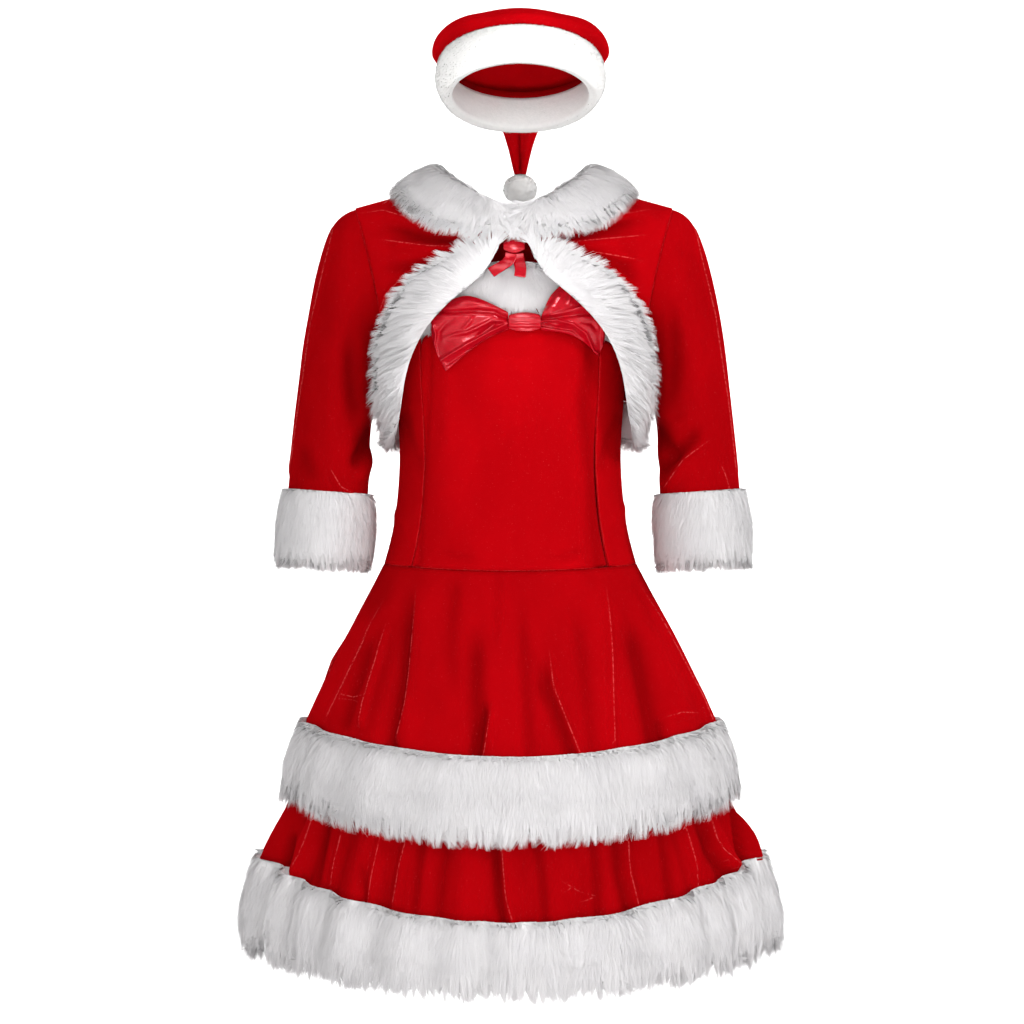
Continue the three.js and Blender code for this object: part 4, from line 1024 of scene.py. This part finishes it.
def make_hairs(node, pile, backing, material, middle):
    """The hairs of a fur as one mesh: strands that lie along the pile and end in wisps at its free edge."""
    fur = bpy.context.scene.costume_fur
    rng = np.random.default_rng(fur.seed + sorted(FUR).index(node))
    wispy = not pile.is_plush
    dense = (fur.per_cm2 if wispy else fur.plush_per_cm2) * pile.thick
    root, way = hair_roots(backing.data, rng, dense, middle, pile.bare)
    count = len(root)

    # The hairs lie along the pile, but at the seam edge they stand outwards over it
    lean = lean_of(pile.lean, root)
    along = lean - way * (lean * way).sum(1, keepdims=True)
    sway = np.stack([wander(root, 0.05, 11 + k) for k in range(3)], 1) * 0.16
    aim = unit(along + way * pile.rise + sway + rng.normal(0, 0.1, (count, 3)))
    far = pile.long * MM * rng.uniform(0.6, 1.1, count)
    at_seam = smoothstep(SEAM_BEGINS, SEAM_FULL, (way * lean).sum(1)) * wispy
    outwards = from_middle(root, middle)
    over_seam = unit(way * 0.4 + outwards + rng.normal(0, 0.2, (count, 3)))
    aim = unit(aim * (1 - at_seam)[:, None] + over_seam * at_seam[:, None])
    at_front = smoothstep(0.06, 0.015, np.abs(root[:, 0])) * (root[:, 1] < 0) * (pile.lean == "round")
    far *= 1 - 0.6 * at_seam + 0.3 * at_front

    # Near the free edge the tips come together in wisps of unlike length
    points, normals = points_of(backing.data), normals_of(backing.data)
    ends = (normals * lean_of(pile.lean, points)).sum(1) > FREE_EDGE
    _, gap = nearest(root, points[ends])
    at_edge = smoothstep(1.1 * pile.long * MM, 0.2 * pile.long * MM, gap) * wispy
    centre = root[rng.choice(count, max(8, int(count / dense * 100 / pile.lock ** 2)))]
    wisp, _ = nearest(root, centre)
    reach = rng.random(len(centre))
    tip = root + aim * (far * (1 + at_edge * (0.75 * reach[wisp] - 0.3)))[:, None]
    meet = np.zeros((len(centre), 3))
    np.add.at(meet, wisp, tip)
    meet = meet / np.maximum(np.bincount(wisp, minlength=len(centre)), 1)[:, None]
    meet += rng.normal(0, 0.0015, meet.shape)
    pull = fur.gather * (0.12 + 0.88 * at_edge) * (1 - at_seam) * rng.uniform(0.7, 1, count) * wispy
    across = meet[wisp] - tip
    across -= aim * (across * aim).sum(1, keepdims=True)
    tip = tip + across * pull[:, None]
    hold_in(tip, node, (0.6 + at_edge * pile.tuft * reach[wisp] + 2.5 * at_seam + 5 * at_front) * MM)

    # Each strand's flat side faces out of the pile, and outwards where the pile ends
    face = unit(way + (outwards - way) * np.maximum(at_seam, 0.85 * at_edge)[:, None])
    side = unit(np.cross(unit(tip - root), face + rng.normal(0, 0.25, (count, 3))))
    wide = fur.hair_width * rng.uniform(0.6, 1.2, count)[:, None] * (1 if wispy else 0.7)
    hairs = join_hairs(f"{node}_hairs", np.stack([root + side * wide / 2, tip, root - side * wide / 2], 1))
    light = rng.uniform(0.75, 1.0, count)[:, None]
    paint(hairs, "tip", (np.array([[0.45, 1.0, 0.45]]) * light).ravel())
    soft = unit(face + rng.normal(0, 0.12 if wispy else 0.05, (count, 3)))
    hairs.normals_split_custom_set_from_vertices(np.repeat(soft, 3, axis=0))
    hairs.materials.append(material)
    piece = new_piece(f"{node}_hairs", hairs)
    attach(piece, "root")
    return piece


def make_fur(node, material, middle, levels=1):
    """A fur's backing, which stands for its CAD node, and its hairs, all round a middle line."""
    backing = make_backing(node, FUR[node], levels)
    hairs = make_hairs(node, FUR[node], backing, material, MIDDLES[middle])
    ready(backing, node, material)
    return backing, hairs


def make_fur_strip(node, material, middle, on, levels=1):
    """A fur strip, cut flat and sewn on in the real set: made here as any fur, its backing and hairs."""
    backing, hairs = make_fur(node, material, middle, levels)


class CostumeOperator(bpy.types.Operator):
    bl_options = {"REGISTER", "UNDO"}


class COSTUME_OT_bodice(CostumeOperator):
    """Add the dress's bodice: a front panel, two side panels and a back, drawn in along the princess seams"""

    bl_idname = "costume.bodice"
    bl_label = "Bodice"

    def execute(self, context):
        for node in ("bodice_front", "bodice_side_left", "bodice_side_right", "bodice_back"):
            make_cloth(node)
        return {"FINISHED"}


class COSTUME_OT_tiers(CostumeOperator):
    """Add the skirt's two velvet tiers, the upper one fluted and the lower one gathered"""

    bl_idname = "costume.tiers"
    bl_label = "Skirt tiers"

    def execute(self, context):
        for node in ("upper_skirt_front", "upper_skirt_back", "lower_skirt_front", "lower_skirt_back"):
            make_cloth(node)
        return {"FINISHED"}


class COSTUME_OT_jacket(CostumeOperator):
    """Add the short jacket's velvet: fronts, back and sleeves"""

    bl_idname = "costume.jacket"
    bl_label = "Jacket"

    def execute(self, context):
        for node in ("jacket_front_left", "jacket_front_right", "jacket_back"):
            make_cloth(node)
        for node in ("sleeve_left", "sleeve_right"):
            make_cloth(node, SLEEVE_FOLDS_BEHIND)
        return {"FINISHED"}


class COSTUME_OT_hat(CostumeOperator):
    """Add the stocking hat: velvet crown, plush band and pompom"""

    bl_idname = "costume.hat"
    bl_label = "Hat"

    def execute(self, context):
        make_cloth("hat_crown")
        make_fur_strip("hat_band", plush(), "hat", "hat_crown_velvet", levels=2)
        pompom, _ = make_fur("pompom", plush(), "pompom")
        return {"FINISHED"}


class COSTUME_OT_dress_fur(CostumeOperator):
    """Add the dress's fur: the neckline, the upper tier's band and the hem"""

    bl_idname = "costume.dress_fur"
    bl_label = "Dress fur"

    def execute(self, context):
        make_fur_strip("neckline_fur", hair(), "dress", "bodice_front_velvet")
        for half in ("front", "back"):
            upper, lower = f"upper_skirt_{half}_velvet", f"lower_skirt_{half}_velvet"
            make_fur_strip(f"upper_fur_{half}", hair(), "dress", upper)
            make_fur_strip(f"hem_fur_{half}", hair(), "dress", lower)
        return {"FINISHED"}


class COSTUME_OT_jacket_fur(CostumeOperator):
    """Add the jacket's fur: collar, front trims, back hem and cuffs"""

    bl_idname = "costume.jacket_fur"
    bl_label = "Jacket fur"

    def execute(self, context):
        make_fur_strip("collar", hair(), "collar", "jacket_back_velvet")
        for side in ("left", "right"):
            front, sleeve = f"jacket_front_{side}_velvet", f"sleeve_{side}_velvet"
            make_fur_strip(f"front_trim_{side}", hair(), "body", front)
            make_fur_strip(f"cuff_{side}", hair(), f"{side}_arm", sleeve)
        make_fur_strip("hem_trim", hair(), "body", "jacket_back_velvet")
        return {"FINISHED"}


def satin_piece(node, levels, shape=None):
    """A satin piece, smoothed and then shaped by a function of its points and their normals."""
    piece = merged_copy(node, f"{node}_satin")
    keep_sharp(piece.data, degrees=50, share=0.9)
    subdivide(piece, levels)
    if shape:
        move_points(piece.data, shape(points_of(piece.data), normals_of(piece.data)))
    ready(piece, node, satin())
    return piece


def from_knot(points):
    """Where the points are from the middle of the bow's knot, in mm."""
    low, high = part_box("bow_knot")
    return (points - np.array((low + high) / 2)) / MM


def crush(points, normals):
    """A crushed loop's points: rays and ripples that fade from the knot, and the loop's own folds."""
    seen = from_knot(points)
    far = np.hypot(seen[:, 0], seen[:, 2] * 0.8)
    turn = np.arctan2(seen[:, 2], np.abs(seen[:, 0]) + 1e-6)
    near = smoothstep(70, 14, far)
    rays = 0.5 * np.sin(turn * 17 + 0.6 * np.sin(far / 9)) * near
    ripples = 0.3 * np.sin(far / 3.1 + 3 * np.sin(turn * 5)) * near
    high = rays + ripples + 0.35 * wander(points, 0.02, 5)
    for fold in FOLDS["bow_loop_left" if seen[:, 0].mean() > 0 else "bow_loop_right"]:
        high += BOW_FOLDS * fold_height(front_view(points), fold)[0]
    out = np.zeros_like(points)
    out[:, 1] = -high * MM * (0.15 + 0.85 * smoothstep(-0.2, 0.4, -normals[:, 1]))
    return points + out


def pinch(points, normals):
    """The knot's points: small waves where the ribbon is drawn tight."""
    seen = from_knot(points)
    out = points.copy()
    out[:, 1] -= 0.7 * MM * np.sin(seen[:, 2] * 1.1 + 0.3 * np.sin(seen[:, 0] * 0.5))
    return out


class COSTUME_OT_bow(CostumeOperator):
    """Add the satin bow on the bust: two crushed loops and the knot between them"""

    bl_idname = "costume.bow"
    bl_label = "Bow"

    def execute(self, context):
        for node, wide in (("bow_loop_right", 0.08), ("bow_loop_left", 0.072)):
            piece = satin_piece(node, 4, crush)
        satin_piece("bow_knot", 3, pinch)
        return {"FINISHED"}


class COSTUME_OT_tie(CostumeOperator):
    """Add the satin ribbon that ties the jacket's neck"""

    bl_idname = "costume.tie"
    bl_label = "Neck tie"

    def execute(self, context):
        for node in ("tie_knot", "tie_tail_right", "tie_tail_left"):
            satin_piece(node, 3)
        return {"FINISHED"}


def add_backdrop(floor):
    """A floor that curves up to a wall behind."""
    steps = np.linspace(0.1, math.pi / 2, 14)
    rows = [(FLOOR_FRONT, floor), (FLOOR_BACK, floor)]
    rows += [(FLOOR_BACK + CURVE * math.sin(a), floor + CURVE * (1 - math.cos(a))) for a in steps]
    rows += [(FLOOR_BACK + CURVE, floor + WALL_HEIGHT)]
    mesh = bpy.data.meshes.new("backdrop")
    places = [(x, y, z) for y, z in rows for x in (-HALF_ACROSS, HALF_ACROSS)]
    faces = [(2 * k, 2 * k + 1, 2 * k + 3, 2 * k + 2) for k in range(len(rows) - 1)]
    mesh.from_pydata(places, [], faces)
    mesh.shade_smooth()
    material, _, shader, _ = shaded_nodes("backdrop")
    shader.inputs["Base Color"].default_value = (0.93, 0.93, 0.93, 1)
    shader.inputs["Roughness"].default_value = 0.9
    shader.inputs["Specular IOR Level"].default_value = 0.1
    mesh.materials.append(material)
    new_piece("backdrop", mesh)


def add_lamp(name, where, size, power, at=(0, 0, -0.33), spread=180):
    """A round soft light that points at a place, its power in watts and its spread in degrees."""
    bpy.ops.object.light_add(type="AREA", location=where)
    light = bpy.context.object
    light.name = name
    light.data.shape = "DISK"
    light.data.size = size
    light.data.energy = power * bpy.context.scene.costume_stage.light
    light.data.spread = math.radians(spread)
    light.rotation_euler = (Vector(at) - Vector(where)).to_track_quat("-Z", "Y").to_euler()


def add_camera():
    camera = bpy.data.cameras.new("camera")
    camera.sensor_width = 36
    camera.lens = camera.sensor_width * -EYE[1] / SEEN_ACROSS
    camera.clip_end = 100
    eye = bpy.data.objects.new("camera", camera)
    bpy.context.scene.collection.objects.link(eye)
    eye.location = Vector(EYE) * MM
    eye.rotation_euler = (math.pi / 2, 0, 0)
    bpy.context.scene.camera = eye


class COSTUME_OT_stage(CostumeOperator):
    """Add the plain pale floor and backdrop, the soft lights and the camera"""

    bl_idname = "costume.stage"
    bl_label = "Stage"

    def execute(self, context):
        add_backdrop(context.scene.costume_stage.floor)
        add_lamp("key", (2.9, -2.1, 1.4), size=1.2, power=72)
        add_lamp("fill", (-2.6, -2.8, 0.8), size=2.2, power=20)
        add_lamp("top", (0.0, -0.6, 2.6), size=2.0, power=34)
        add_lamp("low", (0.2, -2.4, -0.8), size=1.2, power=16, at=(0, 0, 0.1))
        add_lamp("front", (-0.3, -3.4, 0.1), size=1.6, power=34)
        add_lamp("hat", (0.0, -1.2, -0.3), size=0.4, power=0.3, at=(0, 0.08, 0.2), spread=36)
        add_lamp("backdrop_left", (-3.4, 2.8, 1.6), size=1.5, power=190, at=(-0.5, 5.2, -0.4))
        add_lamp("backdrop_right", (3.4, 2.8, 1.6), size=1.5, power=190, at=(0.5, 5.2, -0.4))
        world = bpy.data.worlds.new("studio")
        world.use_nodes = True
        light = world.node_tree.nodes["Background"]
        light.inputs["Color"].default_value = (1, 1, 1, 1)
        light.inputs["Strength"].default_value = 0.3
        context.scene.world = world
        context.scene.view_settings.view_transform = "Standard"
        add_camera()
        return {"FINISHED"}


class COSTUME_PT_panel(bpy.types.Panel):
    bl_idname = "COSTUME_PT_panel"
    bl_label = "Christmas costume set"
    bl_space_type = "VIEW_3D"
    bl_region_type = "UI"
    bl_category = "Costume"

    def draw(self, context):
        layout = self.layout
        for group in ("costume_colours", "costume_cloth", "costume_fur", "costume_stage"):
            settings = getattr(context.scene, group)
            box = layout.box()
            for name in settings.__annotations__:
                box.prop(settings, name)
        for operator in PIECES:
            layout.operator(operator.bl_idname)


GROUPS = {
    "costume_colours": COSTUME_PG_colours,
    "costume_cloth": COSTUME_PG_cloth,
    "costume_fur": COSTUME_PG_fur,
    "costume_stage": COSTUME_PG_stage,
}
PIECES = (
    COSTUME_OT_bodice,
    COSTUME_OT_tiers,
    COSTUME_OT_jacket,
    COSTUME_OT_hat,
    COSTUME_OT_dress_fur,
    COSTUME_OT_jacket_fur,
    COSTUME_OT_bow,
    COSTUME_OT_tie,
    COSTUME_OT_stage,
)


def register():
    for group in (*GROUPS.values(), *PIECES, COSTUME_PT_panel):
        bpy.utils.register_class(group)
    for name, group in GROUPS.items():
        setattr(bpy.types.Scene, name, bpy.props.PointerProperty(type=group))


def unregister():
    for name in GROUPS:
        delattr(bpy.types.Scene, name)
    for group in reversed((*GROUPS.values(), *PIECES, COSTUME_PT_panel)):
        bpy.utils.unregister_class(group)


def main():
    register()
    bpy.ops.costume.stage()
    bpy.ops.costume.bodice()
    bpy.ops.costume.tiers()
    bpy.ops.costume.jacket()
    bpy.ops.costume.hat()
    bpy.ops.costume.dress_fur()
    bpy.ops.costume.jacket_fur()
    bpy.ops.costume.bow()
    bpy.ops.costume.tie()


if __name__ == "__main__":
    main()
